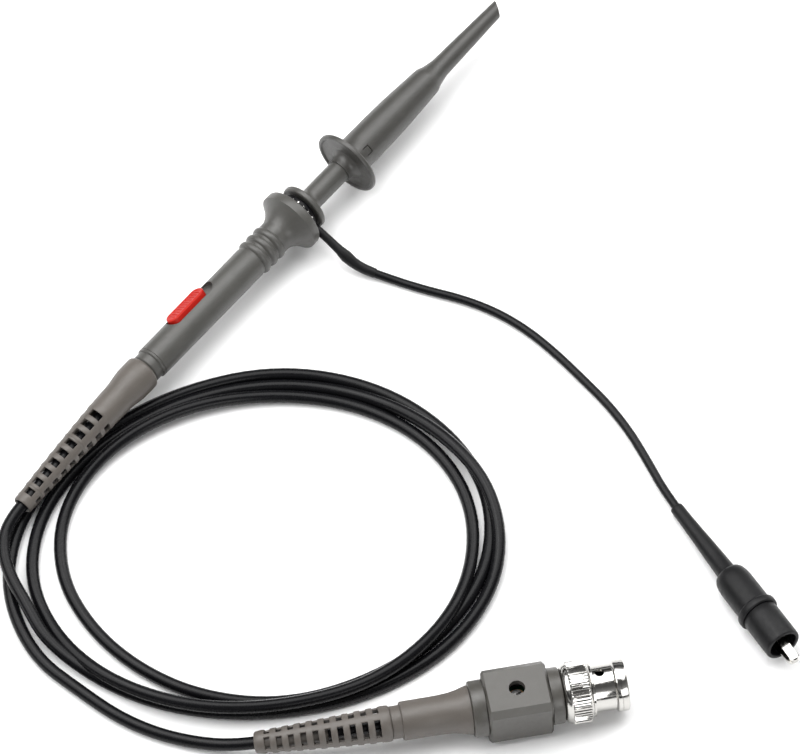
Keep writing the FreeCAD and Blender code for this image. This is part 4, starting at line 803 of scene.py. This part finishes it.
# ground ring, its tail and the crimped sleeve of the lead
groundRing = {"middle": 53.0, "half": 1.05, "radius": 4.8, "bore": 2.04}
ring = groundRing
ringOutline = [(ring["middle"] - ring["half"], ring["bore"]), (ring["middle"] - ring["half"],
    ring["radius"] - 0.4), (ring["middle"] - 0.8, ring["radius"] - 0.1),
    (ring["middle"] - 0.5, ring["radius"]), (ring["middle"] + 0.5, ring["radius"]),
    (ring["middle"] + 0.8, ring["radius"] - 0.1), (ring["middle"] + ring["half"], ring["radius"] - 0.4),
    (ring["middle"] + ring["half"], ring["bore"])]
finished("ground_collar_ring", spun(ringOutline, 64), headPlace, "blackRubber", "ground_collar",
    ["ground_ring"], bevel=0.05)
contactLugs = {"count": 18, "radius": 4.72, "size": (0.5, 0.42, 0.3)}
lugWork = bmesh.new()
for i in range(contactLugs["count"]):
    bmesh.ops.create_cube(lugWork, size=1, matrix=Matrix.Rotation(fullTurn * i / contactLugs["count"], 4,
        "X") @ Matrix.Translation((ring["middle"] - 0.1, 0, contactLugs["radius"]))
        @ Matrix.Diagonal((*contactLugs["size"], 1)))
finished("ground_collar_lugs", lugWork, headPlace, "nickel", "ground_collar", (), bevel=0.06)

groundTail = {"points": [(-8.825, -3.4, 7.55), (-8.825, -4.58, 7.15), (-8.8, -7.2, 6.35),
    (-8.775, -9.44, 5.57), (-8.74, -12.2, 4.55), (-8.725, -14.3, 3.75), (-8.5, -16.2, 2.85),
    (-8.225, -17.6, 2.35), (-7.8, -19.1, 1.98), (-6.9, -21.6, 1.52)], "radii": [0.85, 0.95, 1.0, 1.02,
    1.12, 1.45, 1.3, 1.26, 1.22, 1.16]}


def taperedTube(name, points, radii, material, body, replaced, segments=28):
    # rings along the points, joined, then capped
    work = bmesh.new()
    bmesh.ops.create_circle(work, cap_ends=True, segments=segments, radius=1)
    work.faces.ensure_lookup_table()
    face = work.faces[0]
    places = [Vector(p) for p in points]
    headings = [(b - a).normalized() for a, b in zip([places[0]] + places[:-1], places[1:] + [places[-1]])]
    for i, (place, heading, radius) in enumerate(zip(places, headings, radii)):
        if i:
            face = extrudeCap(work, face)
        aim = heading.to_track_quat("Z", "Y").to_matrix()
        for k, vert in enumerate(capOrder(face)):
            angle = fullTurn * k / segments
            vert.co = place + aim @ Vector((math.cos(angle) * radius, math.sin(angle) * radius, 0))
    bmesh.ops.recalc_face_normals(work, faces=work.faces)
    return finished(name, work, Matrix.Scale(mm, 4), material, body, replaced, sharp=40)


def capOrder(face):
    return [loop.vert for loop in face.loops]


def extrudeCap(work, face):
    made = bmesh.ops.extrude_face_region(work, geom=[face])["geom"]
    fresh = [g for g in made if isinstance(g, bmesh.types.BMFace)][0]
    if face.is_valid:
        bmesh.ops.delete(work, geom=[face], context="FACES_ONLY")
    return fresh


taperedTube("ground_collar_tail", groundTail["points"], groundTail["radii"], "blackRubber",
    "ground_collar", ["ground_ring_tail", "lead_sleeve"])
print("ground collar made")

# clip boot and shroud
clipBoot = {"outline": [(0, 1.06), (0, 1.45), (0.3, 1.55), (1.0, 1.58), (4, 1.62), (10, 1.86),
    (16, 2.14), (21.9, 2.36), (22.2, 2.45), (22.35, 3.0), (22.6, 3.4), (23.3, 3.8), (24.6, 4.1),
    (26.0, 4.22), (30, 4.25), (33.8, 4.25), (34.0, 4.5), (34.25, 4.88), (34.6, 4.95), (35.4, 4.95),
    (35.75, 4.88), (35.95, 4.6), (35.98, 3.4), (27.2, 3.4), (24.8, 1.9), (22.3, 1.58), (8.2, 1.58),
    (8.2, 1.06)]}
clipShroud = {"outline": [(36.02, 3.4), (36.02, 4.25), (36.3, 4.38), (38, 4.4), (45.6, 4.4),
    (45.95, 4.3), (46.1, 4.05), (46.1, 3.55), (45.9, 3.42), (36.4, 3.3)]}
finished("clip_cover", spun(clipBoot["outline"], 64), clipPlace, "blackRubber", "probe", ["clip_boot"],
    bevel=0.06)
finished("clip_mouth", spun(clipShroud["outline"], 64), clipPlace, "blackRubber", "probe",
    ["clip_shroud"], bevel=0.05)
print("clip made")

# the spring inside the hook
hookSpring = {"start": 72.3, "end": 89.3, "radius": 1.85, "wire": 0.22, "turns": 10}


def springPiece(name, s, place):
    work = bmesh.new()
    bmesh.ops.create_circle(work, cap_ends=False, segments=10, radius=s["wire"],
        matrix=Matrix.Translation((s["start"], 0, s["radius"])))
    steps = s["turns"] * 28
    bmesh.ops.spin(work, geom=work.verts[:] + work.edges[:], cent=(0, 0, 0), axis=(1, 0, 0),
        dvec=((s["end"] - s["start"]) / steps, 0, 0), angle=fullTurn * s["turns"], steps=steps,
        use_merge=False, use_duplicate=False)
    bmesh.ops.holes_fill(work, edges=[e for e in work.edges if e.is_boundary], sides=12)
    bmesh.ops.recalc_face_normals(work, faces=work.faces)
    return finished(name, work, place, "springSteel", "hook", ["hook_spring"], sharp=60)


hookCoil = springPiece("hook_coil", hookSpring, headPlace)
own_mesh(hookCoil)
print("hook spring made")


# finishes of the modelled parts that stay
slotFinish = {
    "shell_plastic": "shellPlastic", "sleeve_plastic": "sleevePlastic", "boot_rubber": "bootRubber",
    "cable_jacket": "cableJacket", "red_plastic": "redPlastic",
    "black_plastic": "blackRubber", "black_rubber": "blackRubber", "nickel": "nickel", "tin": "tin",
    "spring_steel": "springSteel", "gold_brass": "goldBrass",
    "brass": "brass", "white_insulator": "whiteInsulator", "circuit_board": "circuitBoard",
    "ceramic": "ceramic", "film_resistor": "filmResistor",
}
for part in frame["record"]["subparts"]:
    node = nodes[part["node"]]
    node.data.materials.clear()
    node.data.materials.append(materials[slotFinish[part["material_slot"]]])
print("node finishes set")

# pale floor and soft studio light
studio = {
    "floor": (0.93, 0.93, 0.93),
    "bands": [(0.0, 0.02), (0.14, 0.02), (0.24, 0.6), (0.34, 0.04), (0.5, 0.04), (0.62, 0.35),
        (0.78, 0.25), (0.9, 0.12), (1.0, 0.12)],
    "strength": 1.0,
    "lights": [("key", (-0.5, 0.7, 1.3), 1.5, 27.0), ("top", (0.45, 0.25, 1.6), 1.5, 26.0),
        ("side", (1.2, -0.2, 0.9), 0.9, 9.0), ("low", (-0.5, -1.3, 0.6), 0.7, 6.0)],
}


def makeStudio(s):
    floorMesh = bmesh.new()
    bmesh.ops.create_grid(floorMesh, x_segments=1, y_segments=1, size=4)
    mesh = bpy.data.meshes.new("floor")
    floorMesh.to_mesh(mesh)
    floorMesh.free()
    floor = bpy.data.objects.new("floor", mesh)
    bpy.context.collection.objects.link(floor)
    material = bpy.data.materials.new("paleFloor")
    material.use_nodes = True
    shader = material.node_tree.nodes["Principled BSDF"]
    shader.inputs["Base Color"].default_value = (*s["floor"], 1)
    shader.inputs["Roughness"].default_value = 0.9
    shader.inputs["Specular IOR Level"].default_value = 0.1
    mesh.materials.append(material)
    world = bpy.data.worlds.new("softWorld")
    bpy.context.scene.world = world
    world.use_nodes = True
    tree = world.node_tree
    backdrop = tree.nodes["Background"]
    backdrop.inputs["Strength"].default_value = s["strength"]
    place, split, ramp = (tree.nodes.new(kind) for kind in ("ShaderNodeTexCoord",
        "ShaderNodeSeparateXYZ", "ShaderNodeValToRGB"))
    tree.links.new(place.outputs["Generated"], split.inputs["Vector"])
    tree.links.new(split.outputs["Z"], ramp.inputs["Fac"])
    tree.links.new(ramp.outputs["Color"], backdrop.inputs["Color"])
    for i, (at, level) in enumerate(s["bands"]):
        stop = ramp.color_ramp.elements[i] if i < 2 else ramp.color_ramp.elements.new(at)
        stop.position = at
        stop.color = (level, level, level, 1)
    centre = Vector((-0.04, -0.06, 0))
    for name, place, size, power in s["lights"]:
        data = bpy.data.lights.new(name, "AREA")
        data.shape = "SQUARE"
        data.size = size
        data.energy = power
        light = bpy.data.objects.new(name, data)
        bpy.context.collection.objects.link(light)
        light.visible_camera = False
        light.location = place
        light.rotation_euler = (Vector(place) - centre).to_track_quat("Z", "Y").to_euler()
    bpy.context.scene.view_settings.view_transform = "Standard"


makeStudio(studio)
print("studio set")
